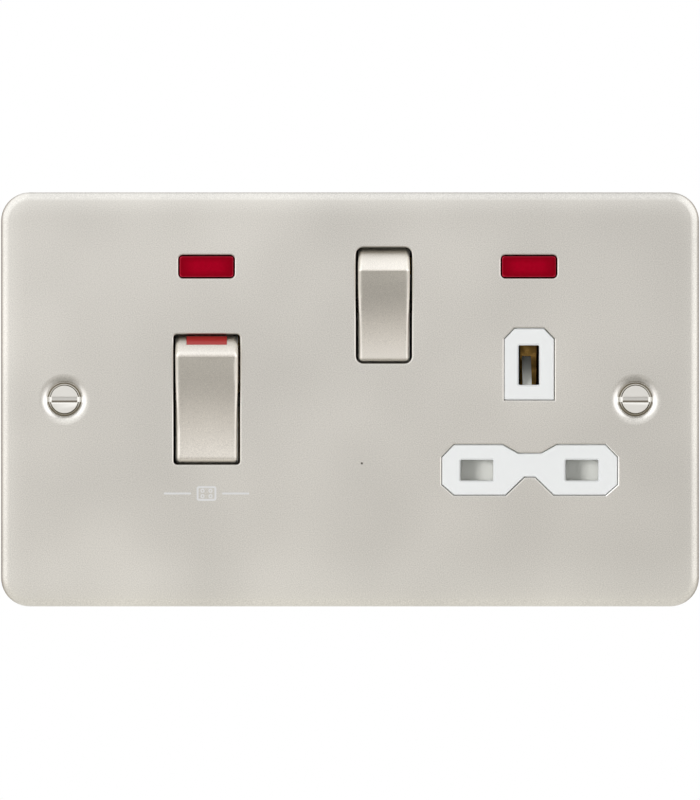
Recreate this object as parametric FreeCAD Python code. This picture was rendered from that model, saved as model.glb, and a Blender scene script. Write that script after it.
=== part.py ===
"""Cooker control unit for a two-gang wall box.

A satin metal plate carries a double-pole cooker switch, a switched three-pin socket and two neon
windows. Behind it are the white front moulding, the rear housing, the switch mechanisms, the
socket contacts with their shutter, the neon lamps, the busbars and the cable terminals.

Sizes are in millimetres. X runs to the right, Z runs up and +Y goes into the wall. The origin is
the centre of the plate in the wall plane y = 0, where the back of the plate's rim rests.
"""

import FreeCAD, Part
import math
import os

# Standard sizes: a two-gang box's lug spacing and a 13 A plug's line to neutral pin spacing
FIXING_SPACING = 120.6
PIN_SPACING = 22.2

# Plate sheet; its outline follows from the housing below
PLATE_DEPTH = 4.0
SHEET = 1.0
PLATE_CORNER = 6.1
PLATE_EDGE_ROUND = 1.7
WINDOW_EDGE_ROUND = 0.3
FACE_Y = -PLATE_DEPTH
SHEET_BACK_Y = FACE_Y + SHEET

# Fixing screws, M3.5 x 25
FIXING_X = FIXING_SPACING / 2
FIXING_THREAD_RADIUS = 1.75
FIXING_NECK_RADIUS = 1.55
FIXING_NECK_END_Y = 0.3
FIXING_LENGTH = 25.0
FIXING_HEAD_RADIUS = 3.6
FIXING_LEDGE_RADIUS = FIXING_HEAD_RADIUS - 0.25
FIXING_HEAD_TOP_RADIUS = FIXING_LEDGE_RADIUS - 0.5
FIXING_HEAD_HEIGHT = 1.0
FIXING_LEDGE_HEIGHT = 0.5
FIXING_SLOT_WIDTH = 1.15
FIXING_SLOT_DEPTH = 0.7
DIMPLE_SEAT_RADIUS = FIXING_HEAD_RADIUS + 0.1
DIMPLE_RADIUS = DIMPLE_SEAT_RADIUS + 1.7
DIMPLE_DEPTH = 0.45

# Parts that both switches share, from the cap inwards
CAP_SIDE_ROUND = 0.95
CAP_WALL = 1.4
CAP_ROOF = 2.1
CAP_TO_FRAME = 0.4
FRAME_CHEEK = 2.2
FRAME_WALL = 1.4
NOSE_TO_FRAME = 0.9
TRUNNION_RADIUS = 1.5
TRUNNION_GAP = 0.06
HUB_HALF_HEIGHT = 3.2
PLUNGER_RADIUS = 1.5
PLUNGER_GAP = 0.08
PLUNGER_REACH = 6.5
PLUNGER_STEM_RADIUS = 0.7
SPRING_WIRE = 0.36
PLUNGER_TO_ARM = 0.14
ARM_WIDTH = 5.0
ARM_THICKNESS = 1.5
ARM_REAR = -0.4
ARM_FRONT = ARM_REAR - ARM_THICKNESS
ARM_TILT = 8.0
FULCRUM_RADIUS = 0.8
FULCRUM_GAP = 0.08
CONTACT_RADIUS = 1.6
CONTACT_HEIGHT = 0.7
CONTACT_GAP = 0.15
FULCRUM_TO_STRAP = 3.7

# Cooker rocker: the two noses are arcs about the pivot, so they pass the window at one small gap
COOKER_X = -30.25
COOKER_Z = 0.0
COOKER_PIVOT_DEPTH = 8.76
COOKER_PIVOT_Y = FACE_Y + COOKER_PIVOT_DEPTH
COOKER_TILT = 10.0
COOKER_NOSE_RADIUS = 15.3
COOKER_CREST_ANGLE = 42.0
COOKER_CREST_ROUND = 1.4
COOKER_CAP_WIDTH = 13.2
COOKER_DISH = 1.3
COOKER_CAP_BACK = -3.6
COOKER_SIDE_GAP = 0.45
COOKER_NOSE_GAP = 0.5
COOKER_WINDOW_CORNER = 0.8
COOKER_CONTACT_Z = 10.2
POLE_OFFSET = COOKER_CAP_WIDTH / 2 + CAP_TO_FRAME - 0.3 - ARM_WIDTH / 2
FLAG_WIDTH = 8.5
FLAG_ANGLES = (19.6, 30.95)
FLAG_THICKNESS = 0.5
COOKER_FULCRUM_Y = COOKER_PIVOT_Y + PLUNGER_REACH + PLUNGER_RADIUS - ARM_FRONT + PLUNGER_TO_ARM

# Current-carrying straps lie in one plane in front of ribs on the housing floor
STRAP = 1.2
STRAP_FRONT_Y = COOKER_FULCRUM_Y + FULCRUM_TO_STRAP
STRAP_BACK_Y = STRAP_FRONT_Y + STRAP
FLOOR_Y = STRAP_BACK_Y + 2.3
FLOOR_THICKNESS = 2.0
HOUSING_BACK_Y = FLOOR_Y + FLOOR_THICKNESS

# Terminals: brass blocks with a cable bore and an M4 clamp screw from the rear
CABLE_RADIUS = 3.0
BLOCK_SIDE_WALL = 1.5
BLOCK_FRONT_WALL = 1.0
BLOCK_SCREW_WALL = 2.0
BLOCK_LENGTH = 12.0
BLOCK_PAD = 1.5
BLOCK_WIDTH = 2 * (CABLE_RADIUS + BLOCK_SIDE_WALL)
BLOCK_BACK_Y = FLOOR_Y - BLOCK_PAD
CABLE_Y = BLOCK_BACK_Y - BLOCK_SCREW_WALL - CABLE_RADIUS
BLOCK_FRONT_Y = CABLE_Y - CABLE_RADIUS - BLOCK_FRONT_WALL
CLAMP_RADIUS = 1.95
CLAMP_HEAD_RADIUS = 2.8
BARRIER_HALF = 0.5
TERMINAL_OFFSET = BLOCK_WIDTH / 2 + BARRIER_HALF + 0.25
NEUTRAL_TERMINAL_X = COOKER_X - TERMINAL_OFFSET
LINE_TERMINAL_X = COOKER_X + TERMINAL_OFFSET
EARTH_TERMINAL_X = -8.0
EARTH_STRAP_Y = (BLOCK_FRONT_Y - STRAP, BLOCK_FRONT_Y)
FRONT_STRAP_Y = (BLOCK_FRONT_Y - 5.7, BLOCK_FRONT_Y - 5.7 + STRAP)

# Housing height: the cooker switch in the middle, a terminal row above it and one below it
COOKER_FRAME_HALF = COOKER_NOSE_RADIUS + NOSE_TO_FRAME + FRAME_WALL
FRAME_TO_BLOCK = 4.9
BLOCK_INNER_Z = COOKER_FRAME_HALF + FRAME_TO_BLOCK
BLOCK_OUTER_Z = BLOCK_INNER_Z + BLOCK_LENGTH
HOUSING_WALL = 1.3
HOUSING_HALF_HEIGHT = BLOCK_OUTER_Z + HOUSING_WALL

# Socket rocker, set just under the housing's top wall
SWITCH_X = 7.16
SWITCH_NOSE_RADIUS = 13.9
SWITCH_TO_WALL = 0.74
SWITCH_Z = BLOCK_OUTER_Z - SWITCH_TO_WALL - SWITCH_NOSE_RADIUS
SWITCH_PIVOT_DEPTH = 8.5
SWITCH_PIVOT_Y = FACE_Y + SWITCH_PIVOT_DEPTH
SWITCH_TILT = 12.0
SWITCH_CREST_ANGLE = 45.8
SWITCH_CREST_ROUND = 0.8
SWITCH_CAP_WIDTH = 10.9
SWITCH_DISH = 1.2
SWITCH_CAP_BACK = -3.4
SWITCH_SIDE_GAP = 0.5
SWITCH_NOSE_GAP = 0.48
SWITCH_WINDOW_CORNER = 1.6
SWITCH_CONTACT_Z = 8.6
SWITCH_FULCRUM_Y = SWITCH_PIVOT_Y + PLUNGER_REACH + PLUNGER_RADIUS - ARM_FRONT + PLUNGER_TO_ARM
SWITCH_FRAME_LOW_Z = SWITCH_Z - SWITCH_NOSE_RADIUS - NOSE_TO_FRAME - FRAME_WALL + 0.3

# Socket: pin ways for a 13 A plug and the two clipped white pads round them
SOCKET_X = 37.9
EARTH_Z = 7.25
LINE_Z = -14.95
EARTH_WAY_WIDTH = 4.34
EARTH_WAY_HEIGHT = 8.33
LINE_WAY_WIDTH = 6.9
LINE_WAY_HEIGHT = 4.35
WAY_ROUND = 0.45
WAY_CORNER = 0.25
EARTH_PAD_HALF_WIDTH = 5.22
EARTH_PAD_ABOVE = 7.66
EARTH_PAD_BELOW = 7.27
EARTH_PAD_CUT = (2.1, 2.2)
LINE_PAD_HALF_WIDTH = 18.5
LINE_PAD_ABOVE = 5.31
LINE_PAD_BELOW = 5.18
LINE_PAD_CUT = 2.5
LINE_PAD_WAIST_ABOVE = 3.48
LINE_PAD_WAIST_BELOW = 1.35
ISLAND_FACE_Y = FACE_Y + 0.15
ISLAND_GAP = 0.15
PAD_EDGE_ROUND = 0.18

# White front moulding, rear housing and the screws that join them to the plate
PANEL = 2.0
PANEL_BACK_Y = SHEET_BACK_Y + PANEL
TUNNEL_DEPTH = 3.0
TUNNEL_BACK_Y = PANEL_BACK_Y + TUNNEL_DEPTH
TUNNEL_HALF_WIDTH = PIN_SPACING / 2 + LINE_WAY_WIDTH / 2 + 0.95
TUNNEL_X = (SOCKET_X - TUNNEL_HALF_WIDTH, SOCKET_X + TUNNEL_HALF_WIDTH)
TUNNEL_TOP_Z = EARTH_Z + EARTH_WAY_HEIGHT / 2 + 2.1
HOUSING_HALF_WIDTH = TUNNEL_X[1] + 0.3 + HOUSING_WALL
MOULDING_HALF_WIDTH = SOCKET_X + LINE_PAD_HALF_WIDTH + 2.1
PLATE_WIDTH = 2 * (FIXING_X + 13.45)
PLATE_HEIGHT = 2 * (HOUSING_HALF_HEIGHT + 7.95)
COLUMN_RADIUS = 4.0
ASSEMBLY_X = HOUSING_HALF_WIDTH - HOUSING_WALL - COLUMN_RADIUS - 0.2
ASSEMBLY_Z = BLOCK_OUTER_Z - COLUMN_RADIUS + 0.5
BOSS_RADIUS = 2.5
BOSS_END_Y = PANEL_BACK_Y + 4.0
PILLAR_Z = COOKER_Z - 10.0
PILLAR_HOLE = 1.6

# Where the straps run: under the cooker frame's foot, from the socket contact, to the two clips
BUS_Z = 0.6 - COOKER_FRAME_HALF
LINK_Z = SWITCH_Z + SWITCH_CONTACT_Z + 0.14
NEUTRAL_TAB = (-BLOCK_INNER_Z - 6.5, -BLOCK_INNER_Z - 1.5)
LINE_CLIP_X = SOCKET_X + PIN_SPACING / 2
NEUTRAL_CLIP_X = SOCKET_X - PIN_SPACING / 2

# Shutter
SHUTTER_CLEARANCE = 0.4
SHUTTER_THICKNESS = 1.8
SHUTTER_FRONT_Y = TUNNEL_BACK_Y + SHUTTER_CLEARANCE
SHUTTER_BACK_Y = SHUTTER_FRONT_Y + SHUTTER_THICKNESS
SHUTTER_FOOT_Z = LINE_Z - LINE_WAY_HEIGHT / 2 - 1.075
SHUTTER_TOP_Z = LINE_Z + LINE_WAY_HEIGHT / 2 + 1.875
SHUTTER_SPRING_LENGTH = 13.3
SPRING_SEAT_Z = SHUTTER_FOOT_Z - SHUTTER_SPRING_LENGTH
SHUTTER_TRAVEL = 6.5
TONGUE_WIDTH = 1.9
TONGUE_FRONT_Y = TUNNEL_BACK_Y - 2.9
TONGUE_X = (SOCKET_X - 1.4, SOCKET_X - 1.4 + TONGUE_WIDTH)
CARRIER = 2.0
CARRIER_Y = (SHUTTER_BACK_Y + SHUTTER_CLEARANCE, SHUTTER_BACK_Y + SHUTTER_CLEARANCE + CARRIER)
CLIP_FRONT_Y = CARRIER_Y[1] + 0.6
CLIP_BRASS = 0.8

# Neon windows, lenses and lamps
NEON_WIDTH = 11.95
NEON_HEIGHT = 4.94
NEON_CORNER = 1.0
NEON_Z = BLOCK_OUTER_Z - 6.45
NEON_CENTRES = {"cooker": (COOKER_X - 0.05, NEON_Z), "socket": (SOCKET_X - 0.1, NEON_Z)}
LENS_GAP = 0.2
LENS_RECESS = 0.4
LENS_FLANGE = 0.9
LENS_FLANGE_THICKNESS = 1.4
LAMP_RADIUS = 2.3
LAMP_Y = PANEL_BACK_Y + LAMP_RADIUS + 0.9
LAMP_LENGTH = 10.0
LEAD_RADIUS = 0.3
LEAD_BEND = 1.8
RESISTOR_RADIUS = 1.1
RESISTOR_LENGTH = 4.0


def vector(x, y, z):
    return FreeCAD.Vector(x, y, z)


def block(x, y, z):
    """A box from (low, high) pairs along each axis."""
    return Part.makeBox(x[1] - x[0], y[1] - y[0], z[1] - z[0], vector(x[0], y[0], z[0]))


def around(centre, half):
    return (centre - half, centre + half)


def rod_x(x, y, z, radius):
    return Part.makeCylinder(radius, x[1] - x[0], vector(x[0], y, z), vector(1, 0, 0))


def rod_y(x, y, z, radius):
    return Part.makeCylinder(radius, y[1] - y[0], vector(x, y[0], z), vector(0, 1, 0))


def rod_z(x, y, z, radius):
    return Part.makeCylinder(radius, z[1] - z[0], vector(x, y, z[0]), vector(0, 0, 1))


def other_leg(slope, leg):
    """The third side of a right triangle."""
    return math.sqrt(slope ** 2 - leg ** 2)


def cone_y(x, y, z, radius_low, radius_high):
    return Part.makeCone(radius_low, radius_high, y[1] - y[0], vector(x, y[0], z), vector(0, 1, 0))


def joined(shapes):
    """One solid out of pieces that meet or overlap."""
    return shapes[0].fuse(shapes[1:]).removeSplitter()


def without(shape, tools):
    return shape.cut(tools)


def prism_y(outline, y, grow=0.0):
    """An (x, z) outline drawn out along Y, grown by an even margin where one is given."""
    points = [vector(px, y[0], pz) for px, pz in outline]
    wire = Part.makePolygon(points + [points[0]])
    if grow:
        wire = wire.makeOffset2D(grow, 2)
    return Part.Face(wire).extrude(vector(0, y[1] - y[0], 0))


def prism_x(outline, x):
    """A (y, z) outline drawn out along X."""
    points = [vector(x[0], py, pz) for py, pz in outline]
    face = Part.Face(Part.makePolygon(points + [points[0]]))
    return face.extrude(vector(x[1] - x[0], 0, 0))


def edges_in_plane(shape, y, keep=None):
    """The edges that lie in the plane at depth y, only those whose middle passes the test."""
    found = []
    for edge in shape.Edges:
        box = edge.BoundBox
        if abs(box.YMin - y) > 1e-3 or abs(box.YMax - y) > 1e-3:
            continue
        if keep is None or keep(box.Center.x, box.Center.z):
            found.append(edge)
    return found


def rounded_block(x, z, width, height, y, radius):
    """A box about (x, z) whose four edges along Y are rounded."""
    box = block(around(x, width / 2), y, around(z, height / 2))
    upright = [edge for edge in box.Edges if abs(edge.BoundBox.YLength - (y[1] - y[0])) < 1e-3]
    return box.makeFillet(radius, upright)


def tilted(shape, degrees, y, z):
    """Turned about an axis along X, from +Y towards +Z."""
    turned = shape.copy()
    turned.rotate(vector(0, y, z), vector(1, 0, 0), degrees)
    return turned


def coil(radius, wire, pitch, height):
    """A round wire spring that stands along Z on the origin."""
    path = Part.Wire(Part.makeHelix(pitch, height, radius))
    ring = Part.Circle(vector(radius, 0, 0), vector(0, 1, 0), wire / 2)
    section = Part.Wire(ring.toShape())
    return path.makePipeShell([section], True, True)


def bent_wire(points, radius):
    """A round wire through the points, with a round knee at each bend."""
    pieces = []
    for start, end in zip(points[:-1], points[1:]):
        run = vector(*end) - vector(*start)
        pieces.append(Part.makeCylinder(radius, run.Length, vector(*start), run))
    for knee in points[1:-1]:
        pieces.append(Part.makeSphere(radius, vector(*knee)))
    return joined(pieces)


def save(name, *solids):
    shape = solids[0] if len(solids) == 1 else Part.makeCompound(list(solids))
    shape.exportStep("parts/" + name + ".step")


def earth_island():
    """Outline of the white pad round the earth aperture, clipped at its two top corners."""
    left, right = around(SOCKET_X - 0.04, EARTH_PAD_HALF_WIDTH)
    low, high = EARTH_Z - EARTH_PAD_BELOW, EARTH_Z + EARTH_PAD_ABOVE
    across, down = EARTH_PAD_CUT
    return [
        (left, low),
        (right, low),
        (right, high - down),
        (right - across, high),
        (left + across, high),
        (left, high - down),
    ]


def line_island():
    """Outline of the white pad round the line and neutral apertures, waisted in the middle."""
    middle = SOCKET_X + 0.05
    far, cut = LINE_PAD_HALF_WIDTH, LINE_PAD_CUT
    high, low = LINE_Z + LINE_PAD_ABOVE, LINE_Z - LINE_PAD_BELOW
    half = [
        (2.4, LINE_Z + LINE_PAD_WAIST_ABOVE),
        (5.7, high),
        (far - cut, high),
        (far, high - cut - 0.1),
        (far, low + cut - 0.3),
        (far - cut, low),
        (5.1, low),
        (1.15, LINE_Z - LINE_PAD_WAIST_BELOW),
    ]
    right = [(middle + x, z) for x, z in half]
    left = [(middle - x, z) for x, z in reversed(half)]
    return right + left


def pin_ways(margin, y):
    """The three pin passages as solid bars, to be cut out of the pieces they go through."""
    width, height = EARTH_WAY_WIDTH + 2 * margin, EARTH_WAY_HEIGHT + 2 * margin
    bars = [rounded_block(SOCKET_X - 0.1, EARTH_Z, width, height, y, WAY_CORNER)]
    width, height = LINE_WAY_WIDTH + 2 * margin, LINE_WAY_HEIGHT + 2 * margin
    for x in (NEUTRAL_CLIP_X, LINE_CLIP_X):
        bars.append(rounded_block(x, LINE_Z, width, height, y, WAY_CORNER))
    return bars


def switch_windows():
    """Both rocker cut-outs as (x, z, width, height, corner), just clear of the sweeping noses."""
    cooker_half = other_leg(COOKER_NOSE_RADIUS + COOKER_NOSE_GAP, COOKER_PIVOT_Y - SHEET_BACK_Y)
    switch_half = other_leg(SWITCH_NOSE_RADIUS + SWITCH_NOSE_GAP, SWITCH_PIVOT_Y - SHEET_BACK_Y)
    cooker_width = COOKER_CAP_WIDTH + 2 * COOKER_SIDE_GAP
    switch_width = SWITCH_CAP_WIDTH + 2 * SWITCH_SIDE_GAP
    return [
        (COOKER_X, COOKER_Z, cooker_width, 2 * cooker_half, COOKER_WINDOW_CORNER),
        (SWITCH_X, SWITCH_Z, switch_width, 2 * switch_half, SWITCH_WINDOW_CORNER),
    ]


def assembly_points():
    return [(sx * ASSEMBLY_X, sz * ASSEMBLY_Z) for sx in (-1, 1) for sz in (-1, 1)]


def dimple(x, y):
    """Soft hollow round a fixing hole: a rolled edge that falls from the depth y to its flat seat."""
    run = DIMPLE_RADIUS - DIMPLE_SEAT_RADIUS
    roll = (run ** 2 + DIMPLE_DEPTH ** 2) / (2 * DIMPLE_DEPTH)
    half_turn = math.asin(run / roll) / 2
    rim = vector(DIMPLE_RADIUS, y, 0)
    knee = vector(
        DIMPLE_RADIUS - roll * math.sin(half_turn), y + roll * (1 - math.cos(half_turn)), 0)
    seat = vector(DIMPLE_SEAT_RADIUS, y + DIMPLE_DEPTH, 0)
    above = [seat, vector(0, y + DIMPLE_DEPTH, 0), vector(0, y - 0.5, 0), vector(DIMPLE_RADIUS, y - 0.5, 0), rim]
    outline = Part.Wire([Part.Arc(rim, knee, seat).toShape()] + Part.makePolygon(above).Edges)
    hollow = Part.Face(outline).revolve(vector(0, 0, 0), vector(0, 1, 0), 360)
    hollow.translate(vector(x, 0, 0))
    return hollow


def front_plate():
    """Pressed sheet with a turned-back rim, dimpled at the fixing holes, bossed for assembly."""
    depth = (FACE_Y, 0)
    shell = rounded_block(0, 0, PLATE_WIDTH, PLATE_HEIGHT, depth, PLATE_CORNER)
    shell = shell.makeFillet(PLATE_EDGE_ROUND, edges_in_plane(shell, FACE_Y))
    inner_width, inner_height = PLATE_WIDTH - 2 * SHEET, PLATE_HEIGHT - 2 * SHEET
    inner_depth = (SHEET_BACK_Y, 1)
    hollow = rounded_block(0, 0, inner_width, inner_height, inner_depth, PLATE_CORNER - SHEET)
    hollow = hollow.makeFillet(PLATE_EDGE_ROUND - SHEET, edges_in_plane(hollow, SHEET_BACK_Y))
    shell = without(shell, [hollow])

    through = (FACE_Y - 1, SHEET_BACK_Y + 1)
    cuts = []
    for x, z in NEON_CENTRES.values():
        cuts.append(rounded_block(x, z, NEON_WIDTH, NEON_HEIGHT, through, NEON_CORNER))
    for x, z, width, height, corner in switch_windows():
        cuts.append(rounded_block(x, z, width, height, through, corner))
    cuts.append(prism_y(earth_island(), through, ISLAND_GAP))
    cuts.append(prism_y(line_island(), through, ISLAND_GAP))
    shell = without(shell, cuts)
    inside = (PLATE_WIDTH / 2 - PLATE_CORNER, PLATE_HEIGHT / 2 - PLATE_CORNER)
    mouths = edges_in_plane(shell, FACE_Y, lambda x, z: abs(x) < inside[0] and abs(z) < inside[1])
    shell = shell.makeFillet(WINDOW_EDGE_ROUND, mouths)

    seat_y = FACE_Y + DIMPLE_DEPTH
    back_y = seat_y + SHEET
    for side in (-1, 1):
        x = side * FIXING_X
        shell = joined([shell, dimple(x, SHEET_BACK_Y)])
        hole = rod_y(x, (FACE_Y - 1, back_y + 1), 0, FIXING_THREAD_RADIUS + 0.15)
        shell = without(shell, [dimple(x, FACE_Y), hole])

    for x, z in assembly_points():
        shell = joined([shell, rod_y(x, (SHEET_BACK_Y, BOSS_END_Y), z, BOSS_RADIUS)])
        shell = without(shell, [rod_y(x, (SHEET_BACK_Y + 1, BOSS_END_Y + 1), z, 1.55)])
    return shell


def neon_lens(x, z):
    """Red window with a flange held between the plate and a lip in the moulding."""
    width, height = NEON_WIDTH - 2 * LENS_GAP, NEON_HEIGHT - 2 * LENS_GAP
    front = FACE_Y + LENS_RECESS
    eye = rounded_block(x, z, width, height, (front, SHEET_BACK_Y), NEON_CORNER - LENS_GAP)
    eye = eye.makeFillet(0.45, edges_in_plane(eye, front))
    wide, high = NEON_WIDTH + 2 * LENS_FLANGE, NEON_HEIGHT + 2 * LENS_FLANGE
    depth = (SHEET_BACK_Y, SHEET_BACK_Y + LENS_FLANGE_THICKNESS)
    flange = rounded_block(x, z, wide, high, depth, NEON_CORNER)
    return joined([eye, flange])


def neon_lamp(x, z):
    """Glass capsule lying along X."""
    half = LAMP_LENGTH / 2 - LAMP_RADIUS
    tube = rod_x((x - half, x + half), LAMP_Y, z, LAMP_RADIUS)
    ends = [Part.makeSphere(LAMP_RADIUS, vector(x + s * half, LAMP_Y, z)) for s in (-1, 1)]
    return joined([tube] + ends)


def front_moulding():
    """White panel behind the plate, with the two socket pads, the pin ways and the lamp cradles."""
    depth = (SHEET_BACK_Y, PANEL_BACK_Y)
    size = (2 * MOULDING_HALF_WIDTH, 2 * HOUSING_HALF_HEIGHT)
    panel = rounded_block(0, 0, size[0], size[1], depth, 3.0)
    body = [panel]
    raised = (ISLAND_FACE_Y, SHEET_BACK_Y)
    for outline in (earth_island(), line_island()):
        pad = prism_y(outline, raised)
        body.append(pad.makeFillet(PAD_EDGE_ROUND, edges_in_plane(pad, ISLAND_FACE_Y)))
    tunnel = (PANEL_BACK_Y, TUNNEL_BACK_Y)
    body.append(block(TUNNEL_X, tunnel, (SHUTTER_FOOT_Z, TUNNEL_TOP_Z)))
    for x, z in NEON_CENTRES.values():
        for side in (-1, 1):
            across = around(x + side * 2.2, 0.6)
            body.append(block(across, (PANEL_BACK_Y, LAMP_Y + 0.8), around(z, 3.8)))
    middle = sum(TONGUE_X) / 2
    body.append(block(around(middle, 3.0), (PANEL_BACK_Y, 5.6), (SPRING_SEAT_Z - 2, SPRING_SEAT_Z)))
    body = joined(body)

    cuts = []
    through = (SHEET_BACK_Y - 1, PANEL_BACK_Y + 0.5)
    for side in (-1, 1):
        cuts.append(rod_y(side * FIXING_X, through, 0, DIMPLE_RADIUS + 0.1))
    for x, z in assembly_points():
        cuts.append(rod_y(x, through, z, BOSS_RADIUS + 0.2))
    cuts.append(rod_y(EARTH_TERMINAL_X, through, PILLAR_Z, BOSS_RADIUS + 0.2))
    for x, z, width, radius in (
        (COOKER_X, COOKER_Z, COOKER_CAP_WIDTH, COOKER_NOSE_RADIUS + 0.4),
        (SWITCH_X, SWITCH_Z, SWITCH_CAP_WIDTH, SWITCH_NOSE_RADIUS + 0.3),
    ):
        cuts.append(block(around(x, width / 2 + 0.8), through, around(z, radius)))
    lip_y = SHEET_BACK_Y + LENS_FLANGE_THICKNESS
    for x, z in NEON_CENTRES.values():
        wide, high = NEON_WIDTH + 2 * LENS_FLANGE + 0.2, NEON_HEIGHT + 2 * LENS_FLANGE + 0.2
        cuts.append(rounded_block(x, z, wide, high, (SHEET_BACK_Y - 1, lip_y), NEON_CORNER))
        light = (SHEET_BACK_Y - 1, PANEL_BACK_Y + 0.001)
        cuts.append(block(around(x, 5.0), light, around(z, 1.9)))
        cradle = rod_x(around(x, 6.0), LAMP_Y, z, LAMP_RADIUS + 0.1)
        mouth = block(around(x, 6.0), (LAMP_Y, LAMP_Y + 2), around(z, LAMP_RADIUS + 0.1))
        cuts += [cradle, mouth]
    cuts += pin_ways(0.0, (FACE_Y - 1, TUNNEL_BACK_Y + 1))
    tongue_room = (EARTH_Z - 6.75 - SHUTTER_TRAVEL - 0.3, EARTH_Z)
    depth = (TONGUE_FRONT_Y - 0.5, TUNNEL_BACK_Y + 1)
    cuts.append(block((TONGUE_X[0] - 0.35, TONGUE_X[1] + 0.35), depth, tongue_room))
    body = without(body, cuts)

    def at_a_way(x, z):
        on_earth = abs(x - SOCKET_X) < EARTH_WAY_WIDTH * 0.7 and abs(z - EARTH_Z) < EARTH_WAY_HEIGHT * 0.6
        side = abs(abs(x - SOCKET_X) - PIN_SPACING / 2)
        return on_earth or (side < LINE_WAY_WIDTH * 0.6 and abs(z - LINE_Z) < LINE_WAY_HEIGHT * 0.7)

    return body.makeFillet(WAY_ROUND, edges_in_plane(body, ISLAND_FACE_Y, at_a_way))


def rocker_profile(radius, crest, dish, back):
    """Side outline of a rocker about its pivot: nose arc, dished face, nose arc, flat back."""
    crest_angle = math.radians(crest)
    low_angle = math.asin(-back / radius)
    half_angle = (crest_angle + low_angle) / 2

    def on_nose(angle, side):
        return vector(0, -radius * math.sin(angle), side * radius * math.cos(angle))

    floor = vector(0, -radius * math.sin(crest_angle) + dish, 0)
    top = Part.Arc(on_nose(low_angle, 1), on_nose(half_angle, 1), on_nose(crest_angle, 1))
    face = Part.Arc(on_nose(crest_angle, 1), floor, on_nose(crest_angle, -1))
    foot = Part.Arc(on_nose(crest_angle, -1), on_nose(half_angle, -1), on_nose(low_angle, -1))
    rear = Part.LineSegment(on_nose(low_angle, -1), on_nose(low_angle, 1))
    return Part.Wire([curve.toShape() for curve in (top, face, foot, rear)])


def rocker_cap(width, radius, crest, dish, back, pocket, crest_round):
    """Plated cap about the pivot, hollow behind for the dolly; pocket is (x, z, depth)."""
    outline = rocker_profile(radius, crest, dish, back)
    cap = Part.Face(outline).extrude(vector(width, 0, 0))
    cap.translate(vector(-width / 2, 0, 0))
    ridge = radius * math.cos(math.radians(crest))
    crests = []
    for edge in cap.Edges:
        box = edge.BoundBox
        if box.XLength > width - 0.1 and abs(abs(box.Center.z) - ridge) < 0.01:
            crests.append(edge)
    cap = cap.makeFillet(crest_round, crests)
    sides = []
    for edge in cap.Edges:
        box = edge.BoundBox
        if box.XLength < 0.01 and box.YMin < back - 0.1:
            sides.append(edge)
    cap = cap.makeFillet(CAP_SIDE_ROUND, sides)
    hollow = block(around(0, pocket[0]), (pocket[2], 5), around(0, pocket[1]))
    return without(cap, [hollow])


def nose_sector(radius_in, radius_out, angles, half_width):
    """Piece of a nose shell between two radii and two angles up from Z towards the front."""
    outer = rod_x(around(0, half_width), 0, 0, radius_out)
    inner = rod_x(around(0, half_width + 1), 0, 0, radius_in)
    reach = radius_out * 1.5
    low, high = [math.radians(angle) for angle in angles]
    wedge = [
        (0, 0),
        (-reach * math.sin(low), reach * math.cos(low)),
        (-reach * math.sin(high), reach * math.cos(high)),
    ]
    return outer.cut(inner).common(prism_x(wedge, (-half_width - 2, half_width + 2)))


def dolly(pocket, hub_half_width, hub_half_height, trunnion_end, plungers):
    """Black carrier that fills the cap, turns on two trunnions and guides the plungers."""
    half_x, half_z, depth = pocket[0] - 0.1, pocket[1] - 0.1, pocket[2]
    hub_y = -PLUNGER_REACH / 2 - 1.15
    body = [
        block(around(0, half_x), (depth, hub_y), around(0, half_z)),
        block(around(0, half_x), (hub_y, -1.8), around(0, hub_half_height)),
        block(around(0, hub_half_width), (-1.9, 3.3), around(0, hub_half_height)),
        rod_x(around(0, trunnion_end), 0, 0, TRUNNION_RADIUS),
    ]
    body = joined(body)
    guides = [rod_y(x, (-3.6, 4), 0, PLUNGER_RADIUS + PLUNGER_GAP) for x in plungers]
    return without(body, guides)


def plunger(x):
    """Round-ended pin that presses the contact arm, with a thin stem inside its spring."""
    tip = Part.makeSphere(PLUNGER_RADIUS, vector(x, PLUNGER_REACH, 0))
    pin = rod_y(x, (0.4, PLUNGER_REACH), 0, PLUNGER_RADIUS)
    stem = rod_y(x, (-2.4, 0.4), 0, PLUNGER_STEM_RADIUS)
    return joined([pin, tip, stem])


def plunger_spring(x):
    spring = coil((PLUNGER_RADIUS + PLUNGER_STEM_RADIUS) / 2 + 0.03, SPRING_WIRE, 0.9, 2.5)
    spring.rotate(vector(0, 0, 0), vector(1, 0, 0), -90)
    spring.translate(vector(x, -3.4, 0))
    return spring


def contact_arm(x, contact_z):
    """See-saw brass arm about its fulcrum, with a rocking groove and a contact near the top."""
    half = contact_z + CONTACT_RADIUS
    bar = block(around(x, ARM_WIDTH / 2), (ARM_FRONT, ARM_REAR), around(0, half))
    upright = [edge for edge in bar.Edges if abs(edge.BoundBox.YLength - ARM_THICKNESS) < 1e-3]
    bar = bar.makeFillet(1.2, upright)
    groove = rod_x(around(x, ARM_WIDTH), 0, 0, FULCRUM_RADIUS + FULCRUM_GAP)
    pad = rod_y(x, (ARM_REAR, ARM_REAR + CONTACT_HEIGHT), contact_z, CONTACT_RADIUS)
    return joined([without(bar, [groove]), pad])


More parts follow.
